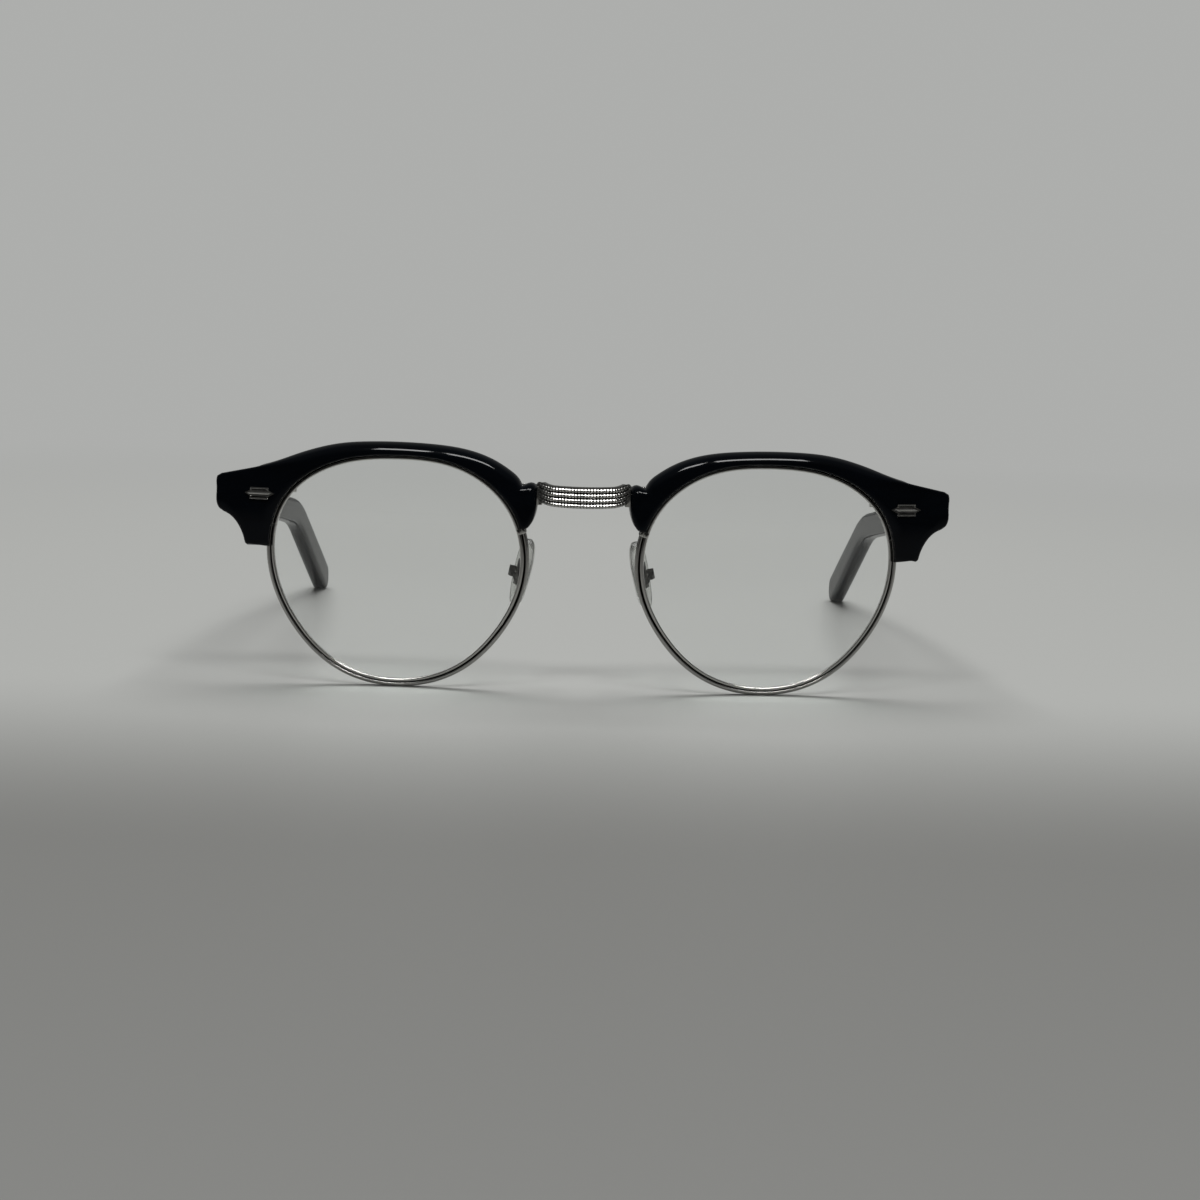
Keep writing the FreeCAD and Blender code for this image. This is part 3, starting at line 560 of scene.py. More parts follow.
NOSE_GROOVE_FROM = -19.0
NOSE_GROOVE_BLEND = 4.0
RIM_FACE_DEPTH = 0.3
SLIT_RISE = 7.9
SLIT_WIDTH = 0.12
RING_STEPS = 216


def loop_from_slit(offset, count):
    """The outline at this offset, from the slit on the temple side round and back to it."""
    loop = lens_outline + lens_normals * offset
    temple_side = loop[:, 0] > 0
    start = int(np.argmin(np.where(temple_side, np.abs(loop[:, 1] - SLIT_RISE), np.inf)))
    order = np.roll(np.arange(OUTLINE_COUNT), -start)
    return spread_evenly(np.vstack([loop[order], loop[order[:1]]]), count)


def along_rim(section, centre, normals):
    """A section of offsets and depths, set square to the rim at each point."""
    rings = []
    for point, outward in zip(centre, normals):
        flat = point + np.outer(section[:, 0], outward)
        rings.append(with_depth(flat, ball_depth(flat, 0) + section[:, 1]))
    return rings


def groove_widened(point):
    """The rim's section, with its front groove wider and further out next to the nose."""
    section = RIM_SECTION[:, :2].copy()
    share = np.clip((NOSE_GROOVE_FROM - point[0]) / NOSE_GROOVE_BLEND, 0, 1)
    moved = np.interp(section[:, 0], GROOVE_EDGES, NOSE_GROOVE_EDGES) - section[:, 0]
    section[:, 0] += share * np.where(section[:, 1] < RIM_FACE_DEPTH, moved, 0)
    return section


def path_normals(path):
    """Directions square to a path round the lens, away from its middle."""
    tangent = np.gradient(path, axis=0)
    normals = np.stack([tangent[:, 1], -tangent[:, 0]], axis=1)
    normals /= np.linalg.norm(normals, axis=1)[:, None]
    return normals if np.sum(normals[0] * path[0]) > 0 else -normals


def make_ring():
    path = loop_from_slit(0, RING_STEPS + 1)
    normals = path_normals(path)
    for end, neighbour in ((0, 1), (-1, -2)):
        run = path[neighbour] - path[end]
        path[end] += run / np.linalg.norm(run) * SLIT_WIDTH / 2
    rings = [along_rim(groove_widened(point), [point], [outward])[0]
             for point, outward in zip(path, normals)]
    return skin_over("rim_ring", rings, SIDE, smooth_angle=50, tarnish_and_shade=RIM_SECTION[:, 2])


# %% Tab, foot and collar of the eyewire
PLATE_FRONT = 2.45
PLATE_BACK = 3.25
FOOT_INSIDE = 0.25
FOOT_FRONT = 1.7
FOOT_BREAK = 0.1
RIM_OUTSIDE = 1.05
TAB_RISE = 15.4
TAB_HEIGHT = 3.0
SCREW_FROM_RIM = 2.0
TAB_END_RADIUS = 0.9
PLATE_BEVEL = 0.12
COLLAR_LOW, COLLAR_HIGH = 7.6, 8.65
COLLAR_GROWTH = 0.16
COLLAR_STEPS = 9
CHANNEL_DEPTH = 0.8
GROOVE_CORNERS = slice(8, 13)
LIP_DEPTH = -0.2


def rim_stretch(low, high, side, count):
    """Points and normals of the outline between two heights on one side."""
    path = spread_evenly(inner_half(0, side), 400)
    path = path[(path[:, 1] >= low) & (path[:, 1] <= high)]
    path = spread_evenly(path, count)
    return path, path_normals(path)


def plate_section(across, rise, half):
    """A flat plate behind the brow, cut across: its rim is bevelled."""
    bevel = PLATE_BEVEL
    corners = [(PLATE_FRONT + bevel, half), (PLATE_FRONT, half - bevel), (PLATE_FRONT, bevel - half),
               (PLATE_FRONT + bevel, -half), (PLATE_BACK - bevel, -half), (PLATE_BACK, bevel - half),
               (PLATE_BACK, half - bevel), (PLATE_BACK - bevel, half)]
    base = float(ball_depth((across, rise), 0))
    return [(across, base + depth, rise + up) for depth, up in corners]


def make_tab():
    rim = crossing(inner_half(0, 1), TAB_RISE)[0]
    half = TAB_HEIGHT / 2
    turn_from = rim + RIM_OUTSIDE + SCREW_FROM_RIM
    runs = [(rim + FOOT_INSIDE, half)]
    for angle in np.radians(np.linspace(0, 80, 9)):
        runs.append((turn_from + TAB_END_RADIUS * math.sin(angle),
                     half - TAB_END_RADIUS * (1 - math.cos(angle))))
    return skin_over("rim_tab", [plate_section(across, TAB_RISE, tall) for across, tall in runs], SIDE)


def make_foot():
    path, normals = rim_stretch(TAB_RISE - TAB_HEIGHT / 2, TAB_RISE + TAB_HEIGHT / 2, 1, 12)
    section = np.array([(FOOT_INSIDE, FOOT_FRONT), (RIM_OUTSIDE - FOOT_BREAK / 2, FOOT_FRONT),
                        (RIM_OUTSIDE, PLATE_BACK - FOOT_BREAK), (RIM_OUTSIDE - FOOT_BREAK, PLATE_BACK),
                        (FOOT_INSIDE + FOOT_BREAK, PLATE_BACK), (FOOT_INSIDE, PLATE_BACK - FOOT_BREAK)])
    return skin_over("rim_foot", along_rim(section, path, normals), SIDE)


def make_collar():
    """The bright collar under the brow's nose tip, swollen in the middle."""
    path, normals = rim_stretch(COLLAR_LOW, COLLAR_HIGH, -1, COLLAR_STEPS)
    rings = []
    for index, (point, outward) in enumerate(zip(path, normals)):
        growth = COLLAR_GROWTH * math.sqrt(math.sin(math.pi * (index + 0.4) / COLLAR_STEPS))
        section = RIM_SECTION[:, :2].copy()
        section[:, 0] += np.where(section[:, 0] > 0, growth, 0)
        section[:, 1] += np.where(section[:, 1] > CHANNEL_DEPTH, growth, -growth)
        section[GROOVE_CORNERS, 1] = LIP_DEPTH - growth
        rings += along_rim(section, [point], [outward])
    return skin_over("rim_collar", rings, SIDE)


eyewire = join_pieces([make_ring(), make_tab(), make_foot(), make_collar()], "left_eyewire_ring")
print(eyewire.name, len(eyewire.data.polygons), "faces")
dress(eyewire, "eyewire", "front", silver)


# %% [markdown]
# ## Lenses
# A demonstration lens is a shallow bowl of one thickness with a bevel round its edge that sits
# in the eyewire's channel. A ball from the Add menu has rings and two poles, as this needs, so
# its rings are pulled flat: the front half to the front face, the back half to the back face.

# %% Lens
LENS_THICKNESS = 1.6
LENS_SEGMENTS = 144
FACE_SHARES = (0.1, 0.25, 0.4, 0.55, 0.68, 0.8, 0.9, 0.96, 1.0)
LENS_BEVEL = [(-0.55, 0.4), (-0.08, 0.42), (-0.06, 0.8), (-0.08, 1.18), (-0.55, 1.2)]


def lens_loop(offset):
    loop = lens_outline + lens_normals * offset
    return spread_evenly(np.vstack([loop, loop[:1]]), LENS_SEGMENTS, closed=True)


def make_lens():
    edge = lens_loop(LENS_BEVEL[0][0])
    front = [with_depth(edge * share, ball_depth(edge * share, 0)) for share in FACE_SHARES]
    back = [with_depth(edge * share, ball_depth(edge * share, LENS_THICKNESS)) for share in FACE_SHARES]
    bevel = [with_depth(loop, ball_depth(loop, 0) + depth)
             for loop, depth in ((lens_loop(offset), depth) for offset, depth in LENS_BEVEL)]
    rings = front + bevel + back[::-1]
    bpy.ops.object.select_all(action="DESELECT")
    bpy.ops.mesh.primitive_uv_sphere_add(segments=LENS_SEGMENTS, ring_count=len(rings) + 1, radius=1.0)
    lens = bpy.context.object
    lens.name = lens.data.name = "left_lens_glass"
    front_pole, back_pole = Vector((0, 0, 0)), Vector((0, LENS_THICKNESS, 0))
    heights = sorted({round(vertex.co.z, 5) for vertex in lens.data.vertices}, reverse=True)[1:-1]
    for vertex in lens.data.vertices:
        height = round(vertex.co.z, 5)
        if height not in heights:
            vertex.co = SIDE @ (front_pole if height > 0 else back_pole)
            continue
        turn = math.atan2(vertex.co.y, vertex.co.x) % (2 * math.pi)
        step = int(round(turn / (2 * math.pi) * LENS_SEGMENTS)) % LENS_SEGMENTS
        vertex.co = SIDE @ Vector(rings[heights.index(height)][step])
    tidy_mesh(lens)
    bpy.ops.object.shade_smooth_by_angle(angle=math.radians(30))
    return lens


lens = make_lens()
print(lens.name, len(lens.data.polygons), "faces")
dress(lens, "lens", "front", lens_glass)


# %% [markdown]
# ## Brows
# A brow is sawn and milled from acetate sheet: a crescent over the lens that swells to an end
# piece, deep enough at the back for the hinge. Its front is curved with the lens and its edges
# are rounded, more over the lens than at the corners. A Boolean of plain blocks leaves ragged
# roundings on such a thin crescent, so this is a skin too. Each section crosses the crescent
# from the eyewire to the outer edge, along the front, and comes back along the rear.

# %% The brow's outline and its crossing lines
BROW_TOP = 24.45
BROW_END_REACH = 35.6
BROW_NOSE_REACH = 26.6
TOP_SHARES = [
    (-0.891, 0.687), (-0.861, 0.745), (-0.805, 0.8), (-0.69, 0.878), (-0.515, 0.949),
    (-0.229, 0.992), (0.0, 1.0), (0.171, 0.994), (0.306, 0.975), (0.435, 0.933),
    (0.57, 0.867), (0.657, 0.818), (0.744, 0.777), (0.837, 0.744), (0.968, 0.7)]
END_SHARES = [
    (0.968, 0.7), (0.99, 0.69), (1.0, 0.665), (1.0, 0.6), (1.0, 0.53), (0.998, 0.47),
    (0.98, 0.423), (0.93, 0.388), (0.878, 0.325), (0.847, 0.25), (0.833, 0.19),
    (0.827, 0.166), (0.815, 0.156)]
NOSE_SHARES = [
    (-0.918, 0.358), (-0.94, 0.369), (-0.97, 0.412),
    (-0.991, 0.478), (-1.002, 0.565), (-1.0, 0.65), (-0.985, 0.695), (-0.955, 0.712),
    (-0.922, 0.704), (-0.891, 0.687)]
LOBE_FLOOR = 3.74
NOSE_FLOOR = 8.75
LOBE_TOP = 17.1
NOSE_TOP = 15.9
NOSE_CLIMB = 150
BROW_INNER = 0.35
BROW_RABBET = 1.1


def brow_points(shares):
    return np.array([(across * (BROW_END_REACH if across > 0 else BROW_NOSE_REACH), rise * BROW_TOP)
                     for across, rise in shares])


nose_line = smooth_curve(brow_points(NOSE_SHARES), 200)
top_line = smooth_curve(brow_points(TOP_SHARES), 700)
end_line = smooth_curve(brow_points(END_SHARES), 300)
brow_outline = np.vstack([nose_line[:-1], top_line[:-1], end_line])
brow_outline[0, 1] = NOSE_FLOOR
brow_outline[-1, 1] = LOBE_FLOOR


def level_pair(rise, side):
    """The brow's outer edge and its inner edge at this height."""
    outer = crossing(end_line if side > 0 else nose_line[:NOSE_CLIMB], rise)
    return outer, crossing(inner_half(BROW_INNER, side), rise)


print("brow outline", brow_outline.min(0).round(2), brow_outline.max(0).round(2))


# %% Stations along the brow
BLOCK_LOW = 9.6
BLOCK_TOP_ACROSS = 29.3
POCKET_TOP = 10.55
EDGE_STEPS = (0.0, 0.08, 0.22, 0.45)
STATION_STEP = 0.55
CLOSEST_STEP = 0.12


def spaced(low, high, extra=()):
    """Even steps between two heights, and the extra heights instead of any step close to them."""
    count = max(2, int(round((high - low) / STATION_STEP)) + 1)
    inside = [value for value in np.linspace(low, high, count)
              if all(abs(value - wanted) > CLOSEST_STEP for wanted in extra)]
    return sorted(set(inside) | {value for value in extra if low <= value <= high})


def brow_stations():
    """(outer point, inner point, kind of rear) from the nose tip over the lens to the lobe."""
    stations = []
    for rise in spaced(NOSE_FLOOR, NOSE_TOP, [NOSE_FLOOR + step for step in EDGE_STEPS]):
        outer, inner = level_pair(rise, -1)
        stations.append((outer, inner, "thin"))
    start, end = stations[-1], level_pair(LOBE_TOP, 1)
    first = int(np.argmin(np.linalg.norm(brow_outline - start[0], axis=1)))
    last = int(np.argmin(np.linalg.norm(brow_outline - end[0], axis=1)))
    loop = lens_outline + lens_normals * BROW_INNER
    upper = loop[loop[:, 1] > 0]
    upper = upper[np.argsort(upper[:, 0])]
    upper = upper[(upper[:, 0] > start[1][0]) & (upper[:, 0] < end[1][0])]
    way = np.sum(np.linalg.norm(np.diff(brow_outline[first:last], axis=0), axis=1))
    middle = int(round(way / STATION_STEP))
    outers = spread_evenly(brow_outline[first:last + 1], middle)
    inners = spread_evenly(np.vstack([start[1], upper, end[1]]), middle)
    for outer, inner in zip(outers[1:-1], inners[1:-1]):
        kind = "block" if outer[0] > BLOCK_TOP_ACROSS else "thin"
        if kind == "block" and stations[-1][2] == "thin":
            stations.append((outer, inner, "thin"))
        stations.append((outer, inner, kind))
    lobe = spaced(LOBE_FLOOR, LOBE_TOP, [LOBE_FLOOR + step for step in EDGE_STEPS] + [BLOCK_LOW, POCKET_TOP])
    for rise in reversed(lobe):
        outer, inner = level_pair(rise, 1)
        if rise > POCKET_TOP:
            stations.append((outer, inner, "block"))
        elif rise == POCKET_TOP:
            stations += [(outer, inner, "block"), (outer, inner, "pocket_block")]
        elif rise > BLOCK_LOW:
            stations.append((outer, inner, "pocket_block"))
        elif rise == BLOCK_LOW:
            stations += [(outer, inner, "pocket_block"), (outer, inner, "pocket")]
        else:
            stations.append((outer, inner, "pocket"))
    return stations


stations = brow_stations()
print(len(stations), "stations")


# %% Sections across the brow
BROW_PROUD = 1.4
BROW_BACK = 2.4
LOBE_EDGE = 0.45
CRESCENT_EDGE = 1.9
INNER_EDGE = 0.3
BACK_EDGE = 0.5
CRESCENT_BACK_EDGE = 1.15
BLOCK_INNER = 27.4
BLOCK_FLANK = 4.6
POCKET_INNER = 27.8
POCKET_FRONT = 0.15
BUTT_BACK = -1.43
RABBET_DEPTH = -0.25
CRESCENT_RISE = (12.0, 8.0)
CRESCENT_ACROSS = (27.0, 9.0)
END_TOP_SLOPE = 0.146
END_TOP_ACROSS = (26.3, 29.3)
END_TOP_RISE = (12.3, 16.6)
BACK_ANGLES = [math.radians(angle) for angle in (0, 18, 36, 54, 72)]
ROUND_ANGLES = [math.radians(angle) for angle in (0, 22.5, 45, 67.5, 90)]

temple_from_side = np.array(TEMPLE.inverted() @ SIDE)


def butt_depth(points):
    """How deep the flat face for the temple lies, seen square to the lens."""
    row = temple_from_side[1]
    return (BUTT_BACK - row[3] - row[0] * points[:, 0] - row[2] * points[:, 1]) / row[1]


def smooth_step(share):
    share = np.clip(share, 0, 1)
    return share * share * (3 - 2 * share)


def crescent_share(point):
    """0 at the lobe and at the nose tip, 1 over the lens."""
    risen = np.clip((point[1] - CRESCENT_RISE[0]) / CRESCENT_RISE[1], 0, 1)
    return smooth_step(risen * np.clip((CRESCENT_ACROSS[0] - point[0]) / CRESCENT_ACROSS[1], 0, 1))


def distance_to(line, points):
    """How far each point lies from a line of many short runs."""
    start, run = line[:-1], np.diff(line, axis=0)
    offset = points[:, None, :] - start[None]
    share = np.clip((offset * run).sum(-1) / (run ** 2).sum(-1), 0, 1)
    return np.sqrt(((offset - share[..., None] * run) ** 2).sum(-1).min(1))


floor_ends = [level_pair(NOSE_FLOOR, -1)[1], level_pair(LOBE_FLOOR, 1)[1]]
rounded_line = np.vstack([floor_ends[0], brow_outline[::4], brow_outline[-1], floor_ends[1]])


def rounding(distance, radius):
    """How far a rounded edge falls back, this far inside its outline."""
    inside = np.clip(radius - distance, 0, radius)
    return radius - np.sqrt(radius ** 2 - inside ** 2)


def end_top_sloped(ring):
    """The end piece's top falls a little towards the rear, so it can't be seen from the front."""
    behind = ring[:, 1] - ball_depth(ring[:, [0, 2]], -BROW_PROUD) - LOBE_EDGE
    weight = 1.0
    for axis, (low, high) in ((0, END_TOP_ACROSS), (2, END_TOP_RISE)):
        weight = weight * smooth_step((ring[:, axis] - low) / (high - low))
    ring[:, 2] -= END_TOP_SLOPE * np.maximum(behind, 0) * weight
    return ring


def back_columns(outer, inner, kind):
    """Places of the rear columns, from the outer edge in, and how deep each one is."""
    run = inner - outer

    def at_across(across):
        share = np.clip((outer[0] - across) / max(outer[0] - inner[0], 1e-6), 0, 1)
        return outer + run * share

    if kind == "thin":
        points = np.array([outer + run * share for share in np.linspace(0, 1, 11)])
        return points, ball_depth(points, BROW_BACK)
    wall = min(BLOCK_INNER if kind == "block" else POCKET_INNER, outer[0] - 0.1)
    flank_start = float(ball_depth((BLOCK_INNER - BLOCK_FLANK, 0), BROW_BACK))
    head = [outer, at_across((outer[0] + wall) / 2), at_across(wall), at_across(wall)]
    if kind == "block":
        turns = np.radians([15, 30, 45, 60, 75, 90])
        rest = [at_across(BLOCK_INNER - BLOCK_FLANK * (1 - math.cos(turn))) for turn in turns] + [inner]
    else:
        rest = [at_across(wall) + (inner - at_across(wall)) * share for share in np.linspace(0, 1, 8)[1:]]
    points = np.array(head + rest)
    if kind == "pocket":
        depth = np.concatenate([ball_depth(points[:3], BROW_BACK), ball_depth(points[3:], POCKET_FRONT)])
    elif kind == "pocket_block":
        depth = np.concatenate([butt_depth(points[:3]), ball_depth(points[3:], POCKET_FRONT)])
    else:
        reach = np.clip(points[3:, 0] - BLOCK_INNER + BLOCK_FLANK, 0, BLOCK_FLANK)
        flank = flank_start + BLOCK_FLANK - np.sqrt(BLOCK_FLANK ** 2 - reach ** 2)
        depth = np.concatenate([butt_depth(points[:3]), np.maximum(ball_depth(points[3:], BROW_BACK), flank)])
    return points, depth


def brow_sections():
    outers = np.array([outer for outer, _, _ in stations])
    inners = np.array([inner for _, inner, _ in stations])
    nearest = [int(np.argmin(np.linalg.norm(brow_outline - outer, axis=1))) for outer in outers]
    tangent = np.array([brow_outline[min(index + 6, len(brow_outline) - 1)] - brow_outline[max(index - 6, 0)]
                        for index in nearest])
    into = np.stack([tangent[:, 1], -tangent[:, 0]], axis=1)
    into /= np.linalg.norm(into, axis=1)[:, None]
    close = [int(np.argmin(np.linalg.norm(lens_outline - inner, axis=1))) for inner in inners]
    away = lens_normals[close]
    rings = []
    for (outer, inner, kind), inward, outward in zip(stations, into, away):
        share = crescent_share(outer)
        radius = LOBE_EDGE + (CRESCENT_EDGE - LOBE_EDGE) * share
        back_edge = BACK_EDGE + (CRESCENT_BACK_EDGE - BACK_EDGE) * share
        outer_rows = [outer + inward * radius * (1 - math.cos(angle)) for angle in ROUND_ANGLES]
        inner_rows = [inner + outward * INNER_EDGE * (1 - math.cos(angle)) for angle in ROUND_ANGLES]
        middle = [inner_rows[-1] + (outer_rows[-1] - inner_rows[-1]) * part for part in (0.2, 0.4, 0.6, 0.8)]
        front = np.array(inner_rows + middle + outer_rows[::-1])
        drop = rounding(distance_to(rounded_line, front), radius)
        from_inner = np.concatenate([[INNER_EDGE * (1 - math.cos(angle)) for angle in ROUND_ANGLES],
                                     np.full(len(front) - len(ROUND_ANGLES), INNER_EDGE)])
        drop = np.maximum(drop, rounding(from_inner, INNER_EDGE))
        front = with_depth(front, ball_depth(front, -BROW_PROUD) + drop)
        back_inner = inner + outward * (BROW_RABBET - BROW_INNER)
        points, depth = back_columns(outer + inward * back_edge, back_inner, kind)
        outer_back = butt_depth(outer[None])[0] if "block" in kind else float(ball_depth(outer, BROW_BACK))
        edge = np.array([with_depth(outer + inward * back_edge * (1 - math.cos(turn)),
                                    outer_back - back_edge * (1 - math.sin(turn))) for turn in BACK_ANGLES])
        rear = with_depth(points, depth)
        rabbet = np.array([with_depth(point, float(ball_depth(point, RABBET_DEPTH)))
                           for point in (back_inner, inner)])
        rings.append(end_top_sloped(np.concatenate([front, edge, rear, rabbet])))
    return rings


brow = skin_over("left_brow_acetate", brow_sections(), SIDE, smooth_angle=32)
print(brow.name, len(brow.data.polygons), "faces")
dress(brow, "brow", "front", acetate)


# %% [markdown]
# ## Temples
# A temple is cut from thicker acetate sheet round a wire core. It is full at the hinge, slim at
# the waist and full again at the rounded tip, and it is bent down behind the ear. The section
# stays a rounded bar, so a skin over sections along the middle line gives the whole temple.

# %% Temple
TEMPLE_THICKNESS = 3.77
TEMPLE_STRAIGHT = 82.0
TEMPLE_LENGTH = 152.0
TEMPLE_BEND = math.radians(14.5)
TEMPLE_BEND_RADIUS = 70.0
TEMPLE_EDGE = 1.1
TEMPLE_HEIGHTS = (6.6, 5.6, 6.8)
TEMPLE_WAIST = 0.45
TEMPLE_START = -1.25
TEMPLE_INSIDE = 1.43
TIP_RADIUS = TEMPLE_HEIGHTS[2] / 2


def temple_half_height(distance):
    """Full at the hinge, slim at the waist and full again at the tip."""
    butt, waist, tip = TEMPLE_HEIGHTS
    share = (distance - TEMPLE_START) / (TEMPLE_LENGTH - TIP_RADIUS - TEMPLE_START)
    if share < TEMPLE_WAIST:
        blend = (1 + math.cos(math.pi * share / TEMPLE_WAIST)) / 2
        return (waist + (butt - waist) * blend) / 2
    blend = (1 - math.cos(math.pi * min((share - TEMPLE_WAIST) / (1 - TEMPLE_WAIST), 1))) / 2
    return (waist + (tip - waist) * blend) / 2


def temple_point(across, distance, offset):
    """A point this far along the bent middle line and this far above it."""
    past = max(distance - TEMPLE_STRAIGHT, 0)
    angle = min(past / TEMPLE_BEND_RADIUS, TEMPLE_BEND)
    rest = max(past - TEMPLE_BEND_RADIUS * TEMPLE_BEND, 0)
    along = min(distance, TEMPLE_STRAIGHT) + TEMPLE_BEND_RADIUS * math.sin(angle) + rest * math.cos(angle)
    drop = TEMPLE_BEND_RADIUS * (1 - math.cos(angle)) + rest * math.sin(angle)
    return (across, along + offset * math.sin(angle), offset * math.cos(angle) - drop)


def temple_section(distance):
    """A bar with rounded edges. Past the tip's middle it shrinks as a half circle does."""
    tip_middle = TEMPLE_LENGTH - TIP_RADIUS
    past = max(distance - tip_middle, 0)
    half = math.sqrt(max(TIP_RADIUS ** 2 - past ** 2, 1e-4)) if past else temple_half_height(distance)
    edge = min(TEMPLE_EDGE, half)
    levels = [half - edge * (1 - math.cos(angle)) for angle in ROUND_ANGLES]
    levels += list(np.linspace(levels[-1], -levels[-1], 5)[1:-1]) + [-level for level in reversed(levels)]
    ring = []
    for side in (1, -1):
        for level in (levels if side > 0 else reversed(levels)):
            inside = TIP_RADIUS - math.hypot(past, level) if past else half - abs(level)
            width = TEMPLE_THICKNESS / 2 - float(rounding(max(inside, 0), TEMPLE_EDGE))
            middle = TEMPLE_INSIDE + TEMPLE_THICKNESS / 2
            ring.append(temple_point(middle + side * width, distance, level))
    return ring


tip_steps = [TEMPLE_LENGTH - TIP_RADIUS + TIP_RADIUS * math.sin(angle)
             for angle in np.radians(np.arange(10, 90, 8))]
temple_steps = ([TEMPLE_START] + list(np.linspace(2, TEMPLE_STRAIGHT, 30))
                + list(np.linspace(TEMPLE_STRAIGHT, TEMPLE_LENGTH - TIP_RADIUS, 40)[1:]) + tip_steps
                + [TEMPLE_LENGTH - 0.001])
temple = skin_over("left_temple_acetate", [temple_section(distance) for distance in temple_steps], TEMPLE)
print(temple.name, len(temple.data.polygons), "faces")
dress(temple, "temple", "temple", acetate)


# %% [markdown]
# ## Bridge
# The bridge is a short silver bar, bowed forward and bent back into its lugs, with four rows of
# beads along its front, the work of a milling wheel. Each row is a wire that swells and narrows
# once for each bead, with a struck facet that faces up and catches the lamps. Separate beads
# would have to be cut into each other, so each row is one skin of round sections that follows
# the bend, and the bar behind the rows is another.

# %% Beaded bridge
BRIDGE_HALF = 8.6
BRIDGE_BOW = 2.0
BRIDGE_HEIGHT = 4.0
BRIDGE_RISE = LENS_CENTRE_RISE + 15.7
BRIDGE_TILT = math.radians(8.0)
BRIDGE_FRONT = 1.3
BRIDGE_BACK = 0.4
RIB_COUNT = 4
RIB_RELIEF = 0.45
ROW_HALF = 9.05
END_DEPTH = 3.3
FLAT_RADIUS = 30.0
END_BEND_FROM = 5.4
END_LIFT = 0.2
END_PINCH = 0.05
BEAD_PITCH = 0.6
BEAD_STEPS = 8
BEAD_COLUMNS = 24
BEAD_NECK = 0.62
BEAD_FULLNESS = 0.7
NECK_DARK = 0.7
FACET_TURN = math.radians(41)
FACET_HALF = math.radians(60)
FACET_REACH = 0.8
FACET_CROWN = 0.015
FACET_CURVE = 0.65
END_DARK = 0.75
END_DARK_FROM = 0.7
END_DARK_BLEND = 0.2
SHADE_FROM = 0.35
SHADE_BLEND = 0.4
BAR_BREAK = 0.1
BAR_BACK_BREAK = 0.25
BAR_STEPS = 65

end_bend = END_DEPTH - BRIDGE_HALF ** 2 / (2 * FLAT_RADIUS)
BRIDGE = FRONT @ Matrix.Translation((0, 0, BRIDGE_RISE)) @ Matrix.Rotation(BRIDGE_TILT, 4, "X")


def crest(across):
    """How far back the bridge's crest line lies here, and its slope: bent back at the ends."""
    share = max(abs(across) - END_BEND_FROM, 0) / (BRIDGE_HALF - END_BEND_FROM)
    slope = across / FLAT_RADIUS
    slope += math.copysign(2.5 * end_bend / (BRIDGE_HALF - END_BEND_FROM) * share ** 1.5, across)
    return across ** 2 / (2 * FLAT_RADIUS) + end_bend * share ** 2.5, slope


def bridge_point(across, depth, rise):
    """A point this deep behind the crest line. The ends are lifted and a little pinched."""
    back, slope = crest(across)
    turn = math.atan(slope)
    end = abs(across / BRIDGE_HALF) ** 3
    return (across - depth * math.sin(turn), back - BRIDGE_FRONT - BRIDGE_BOW + depth * math.cos(turn),
            rise * (1 - END_PINCH * end) + END_LIFT * end)


def facet_reach(angles):
    """How far a row's struck facet, which faces up, lies from the wire's middle."""
    away = np.abs((angles - FACET_TURN + math.pi) % (2 * math.pi) - math.pi)
    near = np.minimum(away, FACET_HALF)
    facet = (FACET_REACH + FACET_CROWN * (1 - (near / FACET_CURVE) ** 2)) / np.cos(near)
    return np.where(away < FACET_HALF, facet, np.inf)


def beaded_row(index):
    """One row of beads, with painted shade on its lower side, away from the facet, and darker between the beads
    and towards both ends.
    """
    pitch = BRIDGE_HEIGHT / RIB_COUNT
    rise = -BRIDGE_HEIGHT / 2 + pitch * (index + 0.5)
    beads = round(2 * ROW_HALF / BEAD_PITCH)
    angles = np.linspace(0, 2 * math.pi, BEAD_COLUMNS, endpoint=False)
    facet = facet_reach(angles)
    rings, dark = [], []
    for step in range(beads * BEAD_STEPS + 1):
        share = 2 * step / (beads * BEAD_STEPS) - 1
        swell = abs(math.sin(math.pi * step / BEAD_STEPS)) ** BEAD_FULLNESS
        reach = pitch / 2 * np.minimum(BEAD_NECK + (1 - BEAD_NECK) * swell, facet)
        rings.append([bridge_point(ROW_HALF * share, pitch / 2 - far * math.cos(angle),
                                   rise + far * math.sin(angle)) for angle, far in zip(angles, reach)])
        neck = NECK_DARK * max(0, 1 - 2 * swell)
        end = END_DARK * np.clip((abs(share) - END_DARK_FROM) / END_DARK_BLEND, 0, 1)
        # Painted shade: the row darkens on the side turned away from its upward facet.
        shade = (SHADE_FROM - np.cos(angles - FACET_TURN / 2)) / SHADE_BLEND
        dark.append(np.clip(shade, max(neck, end), 1))
    return skin_over("bridge_row_%d" % (index + 1), rings, BRIDGE, smooth_angle=60, tarnish_and_shade=dark)


def bridge_bar():
    half = BRIDGE_HEIGHT / 2
    front, back = RIB_RELIEF, BRIDGE_FRONT + BRIDGE_BACK
    section = [(front, half - 0.15), (front + BAR_BREAK, half), (back - BAR_BACK_BREAK, half),
               (back, half - BAR_BACK_BREAK)]
    section += [(depth, -rise) for depth, rise in reversed(section)]
    rings = [[bridge_point(across, depth, rise) for depth, rise in section]
             for across in np.linspace(-BRIDGE_HALF, BRIDGE_HALF, BAR_STEPS)]
    dark = [float(depth <= front + BAR_BREAK) for depth, _ in section]
    return skin_over("bridge_bar", rings, BRIDGE, tarnish_and_shade=dark)


bridge = join_pieces([bridge_bar()] + [beaded_row(index) for index in range(RIB_COUNT)], "beaded_bridge")
finished(bridge, silver)
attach(bridge, "front")
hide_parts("bridge")
print(bridge.name, len(bridge.data.polygons), "faces")


